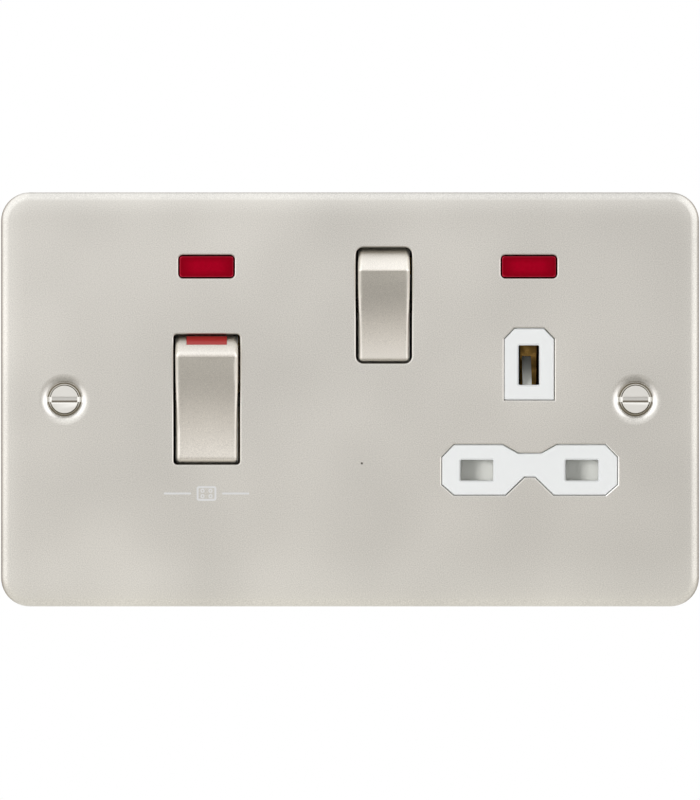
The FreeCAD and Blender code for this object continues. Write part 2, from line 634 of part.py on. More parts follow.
def fixed_contact(x, pivot, contact_z, strap):
    """Contact facing the closed arm, on a pedestal that stands on its strap."""
    pivot_y, pivot_z = pivot
    face_y = ARM_REAR + CONTACT_HEIGHT + CONTACT_GAP
    pad = rod_y(x, (face_y, face_y + 0.85), contact_z, CONTACT_RADIUS)
    pad.translate(vector(0, pivot_y, pivot_z))
    pad = tilted(pad, -ARM_TILT, pivot_y, pivot_z)
    lift = contact_z * math.sin(math.radians(ARM_TILT))
    foot_y = pivot_y + lift + 0.9
    middle = pivot_z + contact_z * math.cos(math.radians(ARM_TILT)) - 0.15
    pedestal = block(around(x, 2.0), (foot_y, STRAP_FRONT_Y), around(middle, 1.9))
    return joined([pad, pedestal] + strap)


def fulcrum(x, pivot, strap):
    """Post with a rounded nose that the arm rocks on, standing on its strap."""
    pivot_y, pivot_z = pivot
    nose = rod_x(around(x, 2.3), pivot_y, pivot_z, FULCRUM_RADIUS)
    post = block(around(x, 2.3), (pivot_y, STRAP_FRONT_Y), around(pivot_z, FULCRUM_RADIUS))
    return joined([nose, post] + strap)


def switch_frame(x, z, cap_width, low, high, closed_top, pivot_y):
    """Black cheeks with snap-in trunnion bearings, tied by end walls."""
    wall = FRAME_WALL
    inner = cap_width / 2 + CAP_TO_FRAME
    outer = inner + FRAME_CHEEK
    body = []
    for side in (-1, 1):
        across = (x + side * inner, x + side * outer) if side > 0 else (x - outer, x - inner)
        body.append(block(across, (PANEL_BACK_Y, STRAP_FRONT_Y - 0.2), (low, high)))
        body.append(block(across, (STRAP_FRONT_Y - 0.2, FLOOR_Y), (low + 3.6, z + 1.0)))
    body.append(block(around(x, inner + 0.1), (PANEL_BACK_Y, STRAP_FRONT_Y - 0.2), (low, low + wall)))
    if closed_top:
        top = (high - wall, high)
        body.append(block(around(x, inner + 0.1), (PANEL_BACK_Y, STRAP_FRONT_Y - 0.2), top))
    body = joined(body)
    bearing = rod_x(around(x, outer + 1), pivot_y, z, TRUNNION_RADIUS + TRUNNION_GAP)
    entry = block(around(x, outer + 1), (PANEL_BACK_Y - 1, pivot_y), around(z, TRUNNION_RADIUS - 0.25))
    return without(body, [bearing, entry])


def terminal(x, side):
    """Brass block with a cable bore along Z, open to the housing edge, and a clamp screw hole."""
    ends = (BLOCK_INNER_Z, BLOCK_OUTER_Z) if side > 0 else (-BLOCK_OUTER_Z, -BLOCK_INNER_Z)
    body = block(around(x, BLOCK_WIDTH / 2), (BLOCK_FRONT_Y, BLOCK_BACK_Y), ends)
    upright = [edge for edge in body.Edges if abs(edge.BoundBox.ZLength - BLOCK_LENGTH) < 1e-3]
    body = body.makeChamfer(0.6, upright)
    bore = rod_z(x, CABLE_Y, (ends[0] - 1, ends[1] + 1), CABLE_RADIUS)
    thread = rod_y(x, (CABLE_Y, BLOCK_BACK_Y + 1), sum(ends) / 2, CLAMP_RADIUS + 0.1)
    return without(body, [bore, thread])


def terminal_places():
    places = []
    for side in (-1, 1):
        for x in (NEUTRAL_TERMINAL_X, LINE_TERMINAL_X, EARTH_TERMINAL_X):
            places.append((x, side))
    return places


def clamp_screw(x, side):
    z = side * (BLOCK_INNER_Z + BLOCK_OUTER_Z) / 2
    tip_y = CABLE_Y + CABLE_RADIUS + 0.2
    shank = rod_y(x, (tip_y, BLOCK_BACK_Y + 0.5), z, CLAMP_RADIUS)
    head = rod_y(x, (BLOCK_BACK_Y + 0.4, FLOOR_Y + 1.2), z, CLAMP_HEAD_RADIUS)
    slot = block(around(x, 3.5), (FLOOR_Y + 0.4, FLOOR_Y + 2), around(z, 0.5))
    return without(joined([shank, head]), [slot])


def rear_housing():
    """White box behind the panel, with ribs for the straps, pads for the terminals and columns."""
    size = (2 * HOUSING_HALF_WIDTH, 2 * HOUSING_HALF_HEIGHT)
    outside = rounded_block(0, 0, size[0], size[1], (PANEL_BACK_Y, HOUSING_BACK_Y), 3.0)
    outside = outside.makeFillet(1.2, edges_in_plane(outside, HOUSING_BACK_Y))
    inner = (size[0] - 2 * HOUSING_WALL, size[1] - 2 * HOUSING_WALL)
    inside = rounded_block(0, 0, inner[0], inner[1], (PANEL_BACK_Y - 1, FLOOR_Y), 1.7)
    body = [without(outside, [inside])]

    strap_ribs = []
    for side in (-1, 1):
        x = COOKER_X + side * POLE_OFFSET
        strap_ribs.append((around(x, 1.2), (1.5 - BLOCK_INNER_Z, COOKER_Z)))
        strap_ribs.append((around(x, 1.2), (COOKER_CONTACT_Z - 1.2, BLOCK_INNER_Z - 1.5)))
    strap_ribs += [
        ((COOKER_X + 11.25, SWITCH_X - 6.2), around(BUS_Z, 0.7)),
        (around(SWITCH_X, 1.0), (BUS_Z + 4.0, SWITCH_Z)),
        ((SWITCH_X - 3.2, SOCKET_X + 2.1), around(LINK_Z, 0.7)),
        (around(LINE_CLIP_X, 1.0), (LINE_Z + 1.95, EARTH_Z + 5.75)),
        (around(NEUTRAL_CLIP_X, 1.0), (NEUTRAL_TAB[0] + 2, LINE_Z + 1.95)),
    ]
    for x, z in strap_ribs:
        body.append(block(x, (STRAP_BACK_Y, FLOOR_Y + 0.1), z))
    body.append(block(around(SOCKET_X, 1.4), (STRAP_FRONT_Y, FLOOR_Y + 0.1), around(EARTH_Z, 2.65)))
    for x, side in terminal_places():
        middle = side * (BLOCK_INNER_Z + BLOCK_OUTER_Z) / 2
        body.append(block(around(x, 4.2), (BLOCK_BACK_Y, FLOOR_Y + 0.1), around(middle, 4.2)))
    for side in (-1, 1):
        ends = (BLOCK_INNER_Z - 1, BLOCK_OUTER_Z + 0.5)
        ends = ends if side > 0 else (-ends[1], -ends[0])
        depth = (BLOCK_FRONT_Y - 2.5, FLOOR_Y + 0.1)
        body.append(block(around(COOKER_X, BARRIER_HALF), depth, ends))
    for x, z in assembly_points():
        body.append(rod_y(x, (BOSS_END_Y, FLOOR_Y + 0.1), z, COLUMN_RADIUS))
    body = joined(body)

    cuts = []
    for x, side in terminal_places():
        middle = side * (BLOCK_INNER_Z + BLOCK_OUTER_Z) / 2
        cuts.append(rod_y(x, (BLOCK_BACK_Y - 1, HOUSING_BACK_Y + 1), middle, CLAMP_HEAD_RADIUS + 0.4))
        wall = side * (HOUSING_HALF_HEIGHT - HOUSING_WALL / 2)
        mouth = CABLE_RADIUS + 0.6
        cuts.append(block(around(x, mouth), around(CABLE_Y, mouth), around(wall, 1.0)))
    for x, z in assembly_points():
        cuts.append(rod_y(x, (BOSS_END_Y - 1, HOUSING_BACK_Y + 1), z, 1.7))
        cuts.append(rod_y(x, (HOUSING_BACK_Y - 2.6, HOUSING_BACK_Y + 1), z, 3.1))
    return without(body, cuts)


def assembly_screw(x, z):
    head_y = HOUSING_BACK_Y - 2.6
    shank = rod_y(x, (-1.0, head_y + 0.1), z, 1.45)
    head = rod_y(x, (head_y, head_y + 2.0), z, 2.75)
    cross = [
        block(around(x, 1.7), (head_y + 0.9, head_y + 3), around(z, 0.4)),
        block(around(x, 0.4), (head_y + 0.9, head_y + 3), around(z, 1.7)),
    ]
    return without(joined([shank, head]), cross)


def fixing_screw(x):
    """Slotted screw with a flat top over a turned ledge, seated in the plate's dimple."""
    seat_y = FACE_Y + DIMPLE_DEPTH
    ledge_y = seat_y - FIXING_LEDGE_HEIGHT
    top_y = seat_y - FIXING_HEAD_HEIGHT
    body = joined([
        cone_y(x, (top_y, ledge_y), 0, FIXING_HEAD_TOP_RADIUS, FIXING_HEAD_TOP_RADIUS + 0.25),
        cone_y(x, (ledge_y, seat_y), 0, FIXING_LEDGE_RADIUS, FIXING_HEAD_RADIUS),
        rod_y(x, (seat_y, FIXING_NECK_END_Y), 0, FIXING_NECK_RADIUS),
        rod_y(x, (FIXING_NECK_END_Y, seat_y + FIXING_LENGTH), 0, FIXING_THREAD_RADIUS),
    ])
    slot_depth = (top_y - 1, top_y + FIXING_SLOT_DEPTH)
    return without(body, [block(around(x, 5), slot_depth, around(0, FIXING_SLOT_WIDTH / 2))])


def flat_clip(x, z, half_width, half_height, along_x):
    """Folded brass clip with two flared leaves that grip a pin, closed at the rear."""
    near, far = CLIP_FRONT_Y, STRAP_FRONT_Y
    grip, flare, thick = 1.75, 2.6, CLIP_BRASS
    outline = [
        (near, flare),
        (near + 2.4, grip),
        (far - thick, grip),
        (far - thick, -grip),
        (near + 2.4, -grip),
        (near, -flare),
        (near, -flare - thick),
        (near + 2.4, -grip - thick),
        (far, -grip - thick),
        (far, grip + thick),
        (near + 2.4, grip + thick),
        (near, flare + thick),
    ]
    reach = half_width if along_x else half_height
    clip = prism_x(outline, (-reach, reach))
    if not along_x:
        clip.rotate(vector(0, 0, 0), vector(0, 1, 0), 90)
    clip.translate(vector(x, 0, z))
    return clip


def contact_carrier():
    """White plate that holds the clips in line and stands off the tunnel block on four posts."""
    plate = block(TUNNEL_X, CARRIER_Y, (SHUTTER_FOOT_Z, TUNNEL_TOP_Z))
    posts = []
    post_x = TUNNEL_HALF_WIDTH - 2.9
    for x in (SOCKET_X - post_x, SOCKET_X + post_x):
        for z in (LINE_Z + 7.45, EARTH_Z + 3.25):
            posts.append(block(around(x, 2.0), (TUNNEL_BACK_Y, CARRIER_Y[0]), around(z, 2.0)))
    slot_z = (EARTH_Z - 13.15, EARTH_Z - 2.25)
    slot = block((TONGUE_X[0] - 0.35, TONGUE_X[1] + 0.35), (CARRIER_Y[0] - 1, CARRIER_Y[1] + 1), slot_z)
    ways = pin_ways(0.25, (CARRIER_Y[0] - 3, CARRIER_Y[1] + 1))
    return without(joined([plate] + posts), ways + [slot])


def shutter():
    """Sliding cover for line and neutral; the earth pin drives its sloped tongue downwards."""
    depth = (SHUTTER_FRONT_Y, SHUTTER_BACK_Y)
    half = PIN_SPACING / 2 + LINE_WAY_WIDTH / 2 + 0.25
    cross = block(around(SOCKET_X, half), depth, (SHUTTER_FOOT_Z, SHUTTER_TOP_Z))
    stem = block((SOCKET_X - 2.3, SOCKET_X + 1.7), depth, (SHUTTER_TOP_Z, EARTH_Z - 4.65))
    tip = EARTH_Z + 1.95
    tongue = [
        (SHUTTER_FRONT_Y, EARTH_Z - 6.75),
        (TONGUE_FRONT_Y, EARTH_Z - 5.35),
        (TONGUE_FRONT_Y, EARTH_Z - 4.05),
        (CARRIER_Y[1] + 2.0, tip),
        (CARRIER_Y[1] + 3.4, tip),
        (CARRIER_Y[1] + 3.4, tip - 2.3),
        (SHUTTER_BACK_Y, EARTH_Z - 6.35),
        (SHUTTER_BACK_Y, EARTH_Z - 6.75),
    ]
    return joined([cross, stem, prism_x(tongue, TONGUE_X)])


def cap_pocket(width, radius, crest, dish):
    """Half width, half height and depth of the hollow that leaves an even wall in a cap."""
    depth = CAP_ROOF + dish - radius * math.sin(math.radians(crest))
    return (width / 2 - CAP_WALL, other_leg(radius, depth) - CAP_WALL, depth)


def build_switches():
    """Both rockers closed (top end out), with their frames, plungers, arms and contacts."""
    pocket = cap_pocket(COOKER_CAP_WIDTH, COOKER_NOSE_RADIUS, COOKER_CREST_ANGLE, COOKER_DISH)
    pivot = (COOKER_PIVOT_Y, COOKER_Z)
    place = vector(COOKER_X, COOKER_PIVOT_Y, COOKER_Z)

    def on_cooker(shape):
        shape.translate(place)
        return tilted(shape, COOKER_TILT, *pivot)

    cap = rocker_cap(
        COOKER_CAP_WIDTH, COOKER_NOSE_RADIUS, COOKER_CREST_ANGLE, COOKER_DISH, COOKER_CAP_BACK,
        pocket, COOKER_CREST_ROUND,
    )
    seat_radius = COOKER_NOSE_RADIUS - FLAG_THICKNESS
    wider = (FLAG_ANGLES[0] - 0.15, FLAG_ANGLES[1] + 0.15)
    recess = nose_sector(seat_radius - 0.05, COOKER_NOSE_RADIUS + 1, wider, FLAG_WIDTH / 2 + 0.04)
    cap = without(cap, [recess])
    flag = nose_sector(seat_radius, COOKER_NOSE_RADIUS + 0.02, FLAG_ANGLES, FLAG_WIDTH / 2)
    poles = (-POLE_OFFSET, POLE_OFFSET)
    save("cooker_rocker_cap", on_cooker(cap))
    save("cooker_on_flag", on_cooker(flag))
    hub = COOKER_CAP_WIDTH / 2 - 0.2
    trunnion = COOKER_CAP_WIDTH / 2 + CAP_TO_FRAME + FRAME_CHEEK - 0.2
    save("cooker_rocker_dolly", on_cooker(dolly(pocket, hub, HUB_HALF_HEIGHT, trunnion, poles)))
    save("cooker_plunger_springs", *[on_cooker(plunger_spring(x)) for x in poles])
    for name, x in zip(("neutral", "line"), poles):
        save("cooker_plunger_" + name, on_cooker(plunger(x)))
        arm = contact_arm(COOKER_X + x, COOKER_CONTACT_Z)
        arm.translate(vector(0, COOKER_FULCRUM_Y, COOKER_Z))
        arm = tilted(arm, -ARM_TILT, COOKER_FULCRUM_Y, COOKER_Z)
        save("cooker_contact_arm_" + name, arm)
        seat = (COOKER_FULCRUM_Y, COOKER_Z)
        strap_y = (STRAP_FRONT_Y, STRAP_BACK_Y)
        across = around(COOKER_X + x, ARM_WIDTH / 2)
        strap = [block(across, strap_y, (COOKER_CONTACT_Z - 2.2, BLOCK_INNER_Z))]
        save("cooker_fixed_contact_" + name, fixed_contact(COOKER_X + x, seat, COOKER_CONTACT_Z, strap))
        strap = [block(across, strap_y, (-BLOCK_INNER_Z, 1.5))]
        save("cooker_fulcrum_" + name, fulcrum(COOKER_X + x, seat, strap))
    low, high = COOKER_Z - COOKER_FRAME_HALF, COOKER_Z + COOKER_FRAME_HALF
    frame = switch_frame(COOKER_X, COOKER_Z, COOKER_CAP_WIDTH, low, high, True, COOKER_PIVOT_Y)
    depth = (COOKER_PIVOT_Y + 4.54, STRAP_FRONT_Y - 0.2)
    barrier = block(around(COOKER_X, BARRIER_HALF), depth, (low + 0.6, high - 0.6))
    save("cooker_switch_frame", joined([frame, barrier]))

    pocket = cap_pocket(SWITCH_CAP_WIDTH, SWITCH_NOSE_RADIUS, SWITCH_CREST_ANGLE, SWITCH_DISH)
    pivot = (SWITCH_PIVOT_Y, SWITCH_Z)
    place = vector(SWITCH_X, SWITCH_PIVOT_Y, SWITCH_Z)

    def on_socket(shape):
        shape.translate(place)
        return tilted(shape, SWITCH_TILT, *pivot)

    cap = rocker_cap(
        SWITCH_CAP_WIDTH, SWITCH_NOSE_RADIUS, SWITCH_CREST_ANGLE, SWITCH_DISH, SWITCH_CAP_BACK,
        pocket, SWITCH_CREST_ROUND,
    )
    save("socket_rocker_cap", on_socket(cap))
    hub = SWITCH_CAP_WIDTH / 2 - 0.2
    trunnion = SWITCH_CAP_WIDTH / 2 + CAP_TO_FRAME + FRAME_CHEEK - 0.2
    save("socket_rocker_dolly", on_socket(dolly(pocket, hub, HUB_HALF_HEIGHT, trunnion, (0,))))
    save("socket_plunger", on_socket(plunger(0)))
    save("socket_plunger_spring", on_socket(plunger_spring(0)))
    arm = contact_arm(SWITCH_X, SWITCH_CONTACT_Z)
    arm.translate(vector(0, SWITCH_FULCRUM_Y, SWITCH_Z))
    save("socket_contact_arm", tilted(arm, -ARM_TILT, SWITCH_FULCRUM_Y, SWITCH_Z))
    low, high = SWITCH_FRAME_LOW_Z, SWITCH_Z + SWITCH_NOSE_RADIUS + 0.3
    frame = switch_frame(SWITCH_X, SWITCH_Z, SWITCH_CAP_WIDTH, low, high, False, SWITCH_PIVOT_Y)
    save("socket_switch_frame", frame)


def build_conductors():
    """Terminals, busbars, straps and clips."""
    names = {NEUTRAL_TERMINAL_X: "neutral", LINE_TERMINAL_X: "line", EARTH_TERMINAL_X: "earth"}
    for x, side in terminal_places():
        save(("load_" if side > 0 else "supply_") + names[x] + "_terminal", terminal(x, side))
    save("terminal_screws", *[clamp_screw(x, side) for x, side in terminal_places()])

    strap_y = (STRAP_FRONT_Y, STRAP_BACK_Y)
    seat = (SWITCH_FULCRUM_Y, SWITCH_Z)
    start = COOKER_X + POLE_OFFSET + ARM_WIDTH / 2
    across = around(SWITCH_X, ARM_WIDTH / 2)
    save("line_busbar", joined([
        block((start, across[1]), strap_y, around(BUS_Z, 2.0)),
        block(across, strap_y, (BUS_Z - 2.0, SWITCH_Z + 1.2)),
    ]))
    save("socket_fulcrum", fulcrum(SWITCH_X, seat, []))
    turn_x = (SOCKET_X + 1.6, SOCKET_X + 5.6)
    turn_z = (EARTH_Z + 6.75, EARTH_Z + 10.75)
    clip_x = around(LINE_CLIP_X, 2.0)
    save("socket_fixed_contact", fixed_contact(SWITCH_X, seat, SWITCH_CONTACT_Z, [
        block((across[0], turn_x[1]), strap_y, around(LINK_Z, 2.0)),
        block(turn_x, strap_y, (turn_z[0], LINK_Z + 2.0)),
        block((turn_x[0], clip_x[1]), strap_y, turn_z),
        block(clip_x, strap_y, (LINE_Z - 2.55, turn_z[1])),
    ]))
    tab = NEUTRAL_TAB
    across = around(NEUTRAL_TERMINAL_X, 2.5)
    rise_x = (NEUTRAL_CLIP_X + 2.5 - STRAP, NEUTRAL_CLIP_X + 2.5)
    save("neutral_busbar", joined([
        block(across, (BLOCK_FRONT_Y - STRAP, BLOCK_FRONT_Y), tab),
        block(across, (FRONT_STRAP_Y[0], BLOCK_FRONT_Y), (tab[1] - STRAP, tab[1])),
        block((across[0], rise_x[1]), FRONT_STRAP_Y, tab),
        block(rise_x, (FRONT_STRAP_Y[0], STRAP_BACK_Y), tab),
        block(around(NEUTRAL_CLIP_X, 2.5), strap_y, (tab[0], LINE_Z + 2.55)),
    ]))
    low_z = (SWITCH_FRAME_LOW_Z - 5.96, SWITCH_FRAME_LOW_Z - 1.56)
    high_z = (EARTH_Z - 2.25, EARTH_Z + 1.75)
    rise_x = (SWITCH_X + 10.84, SWITCH_X + 14.84)
    hole = rod_y(EARTH_TERMINAL_X, (BOSS_END_Y + 1, EARTH_STRAP_Y[1] + 1), PILLAR_Z, PILLAR_HOLE)
    save("earth_strap", without(joined([
        block(around(EARTH_TERMINAL_X, 2.5), EARTH_STRAP_Y, around(0, BLOCK_INNER_Z + 5.5)),
        block((EARTH_TERMINAL_X, rise_x[1]), EARTH_STRAP_Y, low_z),
        block(rise_x, EARTH_STRAP_Y, (low_z[0], high_z[1])),
        block((rise_x[0], SOCKET_X - 2.55), EARTH_STRAP_Y, high_z),
    ]), [hole]))
    pillar = rod_y(EARTH_TERMINAL_X, (SHEET_BACK_Y, EARTH_STRAP_Y[0]), PILLAR_Z, BOSS_RADIUS)
    save("earth_pillar", without(pillar, [hole]))
    head_y = EARTH_STRAP_Y[1]
    shank = rod_y(EARTH_TERMINAL_X, (BOSS_END_Y + 2, head_y + 0.1), PILLAR_Z, PILLAR_HOLE - 0.1)
    head = rod_y(EARTH_TERMINAL_X, (head_y, head_y + 1.8), PILLAR_Z, CLAMP_HEAD_RADIUS)
    slot = block(around(EARTH_TERMINAL_X, 4), (head_y + 1.0, head_y + 3.5), around(PILLAR_Z, 0.4))
    save("earth_screw", without(joined([shank, head]), [slot]))

    save("line_clip", flat_clip(LINE_CLIP_X, LINE_Z, 3.2, 0, True))
    save("neutral_clip", flat_clip(NEUTRAL_CLIP_X, LINE_Z, 3.2, 0, True))
    save("earth_clip", flat_clip(SOCKET_X, EARTH_Z, 0, 4.3, False))


def build_lamps():
    """Neon lenses, lamps, series resistors and leads."""
    resistors, leads = [], []
    for name, (x, z) in NEON_CENTRES.items():
        save(name + "_neon_lens", neon_lens(x, z))
        save(name + "_neon_lamp", neon_lamp(x, z))
        half = LAMP_LENGTH / 2
        right = x + half + LEAD_BEND
        left = x - half - LEAD_BEND
        body_y = (LAMP_Y + 2.8, LAMP_Y + 2.8 + RESISTOR_LENGTH)
        resistors.append(rod_y(right, body_y, z, RESISTOR_RADIUS))
        start = [(x + half, LAMP_Y, z), (right, LAMP_Y, z), (right, body_y[0], z)]
        leads.append(bent_wire(start, LEAD_RADIUS))
        landing = BLOCK_FRONT_Y if name == "cooker" else STRAP_FRONT_Y
        leads.append(bent_wire([(x - half, LAMP_Y, z), (left, LAMP_Y, z), (left, landing, z)], LEAD_RADIUS))
        if name == "cooker":
            leads.append(rod_y(right, (body_y[1], BLOCK_FRONT_Y), z, LEAD_RADIUS))
        else:
            clip_top = LINE_Z + 1.75 + CLIP_BRASS
            run_y = body_y[1] + 4.0
            landing_x = NEUTRAL_CLIP_X + 1.2
            leads.append(bent_wire([
                (right, body_y[1], z),
                (right, run_y, z),
                (right, run_y, EARTH_Z - 8.25),
                (landing_x, run_y, EARTH_Z - 8.25),
                (landing_x, run_y, clip_top),
            ], LEAD_RADIUS))
    save("neon_resistors", *resistors)
    save("neon_leads", *leads)


def main():
    os.makedirs("parts", exist_ok=True)
    save("front_plate", front_plate())
    save("front_moulding", front_moulding())
    save("rear_housing", rear_housing())
    save("fixing_screws", *[fixing_screw(side * FIXING_X) for side in (-1, 1)])
    save("assembly_screws", *[assembly_screw(x, z) for x, z in assembly_points()])
    build_switches()
    build_conductors()
    build_lamps()
    save("contact_carrier", contact_carrier())
    save("socket_shutter", shutter())
    spring = coil(1.2, 0.4, 1.7, SHUTTER_FOOT_Z - SPRING_SEAT_Z - 0.4)
    spring.translate(vector(sum(TONGUE_X) / 2, 3.5, SPRING_SEAT_Z + 0.2))
    save("shutter_spring", spring)


main()
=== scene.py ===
"""Looks of the cooker control unit: its finishes, fixing screws, printed mark and studio.

Each operator makes one group of pieces and the panel in the 3D view's sidebar lists them in the
order in which they are called. Lengths are in metres in the frame of the CAD part: X runs to the
right, Z runs up and +Y goes into the wall.
"""

import math

import bpy
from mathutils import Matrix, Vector


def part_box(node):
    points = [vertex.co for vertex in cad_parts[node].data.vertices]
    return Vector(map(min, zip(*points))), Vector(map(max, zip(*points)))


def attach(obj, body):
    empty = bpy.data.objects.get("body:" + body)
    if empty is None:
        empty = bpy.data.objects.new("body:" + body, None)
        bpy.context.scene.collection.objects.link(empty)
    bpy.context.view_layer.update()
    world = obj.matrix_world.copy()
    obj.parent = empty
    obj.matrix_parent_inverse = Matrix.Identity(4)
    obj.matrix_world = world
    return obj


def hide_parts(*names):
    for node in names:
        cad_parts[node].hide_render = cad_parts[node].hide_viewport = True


bl_info = {
    "name": "Cooker control unit looks",
    "version": (1, 0, 0),
    "blender": (4, 5, 0),
    "location": "3D View > Sidebar > Cooker Unit",
    "description": "Finishes, fixing screws, printed mark and studio of a cooker control unit",
    "category": "Object",
}

MM = 0.001
# The plate's face, which the print lies on.
FACE_Y = -4.0 * MM
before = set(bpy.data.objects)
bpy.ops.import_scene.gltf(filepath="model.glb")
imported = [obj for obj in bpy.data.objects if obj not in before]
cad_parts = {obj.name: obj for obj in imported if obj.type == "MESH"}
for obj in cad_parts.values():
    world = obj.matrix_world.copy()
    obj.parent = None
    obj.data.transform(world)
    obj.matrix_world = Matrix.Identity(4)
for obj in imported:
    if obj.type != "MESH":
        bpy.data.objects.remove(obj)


# Colour and mesh helpers


def srgb(code):
    """Linear colour of an sRGB hex code."""
    channels = [int(code[i:i + 2], 16) / 255 for i in (1, 3, 5)]
    return tuple(c / 12.92 if c <= 0.04045 else ((c + 0.055) / 1.055) ** 2.4 for c in channels)


def rgba(colour):
    return (colour[0], colour[1], colour[2], 1.0)


def only(obj):
    """Leaves obj as the one selected and active object."""
    bpy.ops.object.select_all(action="DESELECT")
    obj.select_set(True)
    bpy.context.view_layer.objects.active = obj


def settle(obj, name):
    """Names a new piece, moves its place into its mesh and puts its origin at the world's."""
    obj.name = name
    obj.data.name = name
    only(obj)
    bpy.ops.object.transform_apply(location=True, rotation=True, scale=True)


def pick(obj, wanted):
    """Selects the faces whose middle and normal pass the test, in edit mode on return."""
    only(obj)
    bpy.ops.object.mode_set(mode="EDIT")
    bpy.ops.mesh.select_mode(type="FACE")
    bpy.ops.mesh.select_all(action="DESELECT")
    bpy.ops.object.mode_set(mode="OBJECT")
    found = 0
    for face in obj.data.polygons:
        face.select = wanted(face.center, face.normal)
        found += face.select
    if not found:
        raise RuntimeError("no face of " + obj.name + " is where it was looked for")
    bpy.ops.object.mode_set(mode="EDIT")


def finish_mesh(obj, angle):
    """Merges doubles, turns the faces outwards and smooths them up to an angle."""
    only(obj)
    bpy.ops.object.mode_set(mode="EDIT")
    bpy.ops.mesh.select_all(action="SELECT")
    bpy.ops.mesh.remove_doubles(threshold=1e-7)
    bpy.ops.mesh.normals_make_consistent(inside=False)
    bpy.ops.object.mode_set(mode="OBJECT")
    bpy.ops.object.shade_smooth_by_angle(angle=math.radians(angle))


def subtract(obj, cutter):
    """Cuts the cutter out of obj and removes it."""
    only(obj)
    modifier = obj.modifiers.new("cut", "BOOLEAN")
    modifier.object = cutter
    modifier.solver = "EXACT"
    bpy.ops.object.modifier_apply(modifier=modifier.name)
    bpy.data.objects.remove(cutter)


def bevelled(obj, width, segments, angle):
    """Rounds the edges of a mesh that are sharper than an angle."""
    only(obj)
    modifier = obj.modifiers.new("edges", "BEVEL")
    modifier.width = width
    modifier.segments = segments
    modifier.limit_method = "ANGLE"
    modifier.angle_limit = math.radians(angle)
    bpy.ops.object.modifier_apply(modifier=modifier.name)


def joined(objects, name):
    """One piece out of several meshes."""
    bpy.ops.object.select_all(action="DESELECT")
    for obj in objects:
        obj.select_set(True)
    bpy.context.view_layer.objects.active = objects[0]
    bpy.ops.object.join()
    settle(objects[0], name)
    return objects[0]


# Shader helpers


def wire(node, inputs):
    """Links each input from a socket or sets it to a constant, by its name or its place."""
    pairs = inputs.items() if isinstance(inputs, dict) else enumerate(inputs)
    for key, value in pairs:
        if isinstance(value, bpy.types.NodeSocket):
            node.id_data.links.new(value, node.inputs[key])
        else:
            node.inputs[key].default_value = value


def add(tree, kind, inputs=(), stops=(), **settings):
    """Adds a shader node with its settings, ramp stops and inputs, and gives its outputs."""
    node = tree.nodes.new("ShaderNode" + kind)
    for name, value in settings.items():
        setattr(node, name, value)
    if stops:
        elements = node.color_ramp.elements
        while len(elements) < len(stops):
            elements.new(0.5)
        for element, (position, colour) in zip(elements, stops):
            element.position = position
            element.color = rgba(colour)
    wire(node, inputs)
    return node.outputs


def started(name):
    """A new material with its node tree and its Principled shader."""
    material = bpy.data.materials.new(name)
    material.use_nodes = True
    tree = material.node_tree
    return material, tree, tree.nodes["Principled BSDF"]


def grains(size):
    """Noise scale whose lumps are this long."""
    return 1.0 / size


def shade(colour, factor):
    return tuple(c * factor for c in colour)


# Finishes


BLACK = (0.0, 0.0, 0.0)
WHITE = (1.0, 1.0, 1.0)


def satin_nickel(name, colour, roughness, grain):
    """Pearl nickel plating over blasted steel: a soft sheen with a fine even grain and faint clouds."""
    material, tree, surface = started(name)
    place = add(tree, "TexCoord")
    spot = place["Object"]
    clouds = add(tree, "TexNoise", {"Vector": spot, "Scale": grains(26 * MM), "Detail": 1.0})["Fac"]
    fine = add(tree, "TexNoise", {"Vector": spot, "Scale": grains(grain), "Detail": 1.5})["Fac"]
    faint = add(tree, "Math", (clouds, 0.3), operation="MULTIPLY")[0]
    tints = [(0.3, shade(colour, 0.8)), (0.7, shade(colour, 1.2))]
    both = add(tree, "Math", (fine, 0.7, faint), operation="MULTIPLY_ADD")[0]
    wire(surface, {
        "Metallic": 1.0,
        "Base Color": add(tree, "ValToRGB", (both,), tints)[0],
        "Roughness": add(tree, "MapRange", (fine, 0.3, 0.7, roughness - 0.03, roughness + 0.03))[0],
        "Normal": add(tree, "Bump", {"Height": fine, "Distance": 0.0016 * MM, "Strength": 1.0})[0],
    })
    return material, tree, surface, place


def highlit_cap(name, colour, roughness, grain, flank_highlight):
    """Satin nickel cap with a painted highlight along its long edges."""
    material, tree, surface, place = satin_nickel(name, colour, roughness, grain)
    # Painted highlight on the sides of the cap, but not on its raised nose, which faces up.
    facing = add(tree, "SeparateXYZ", (place["Normal"],))
    sideways = add(tree, "Math", (facing["X"],), operation="ABSOLUTE")[0]
    flank = add(tree, "MapRange", (sideways, 0.15, 0.5, 0.0, 0.8))[0]
    below_nose = add(tree, "MapRange", (facing["Z"], 0.05, 0.3, 1.0, 0.0))[0]
    flank_sheen = add(tree, "Math", (flank, below_nose), operation="MULTIPLY")[0]
    plain = surface.inputs["Base Color"].links[0].from_socket
    blend = {"Factor": flank_sheen, "A": plain, "B": rgba(flank_highlight)}
    wire(surface, {"Base Color": add(tree, "Mix", blend, data_type="RGBA")["Result"]})
    return material


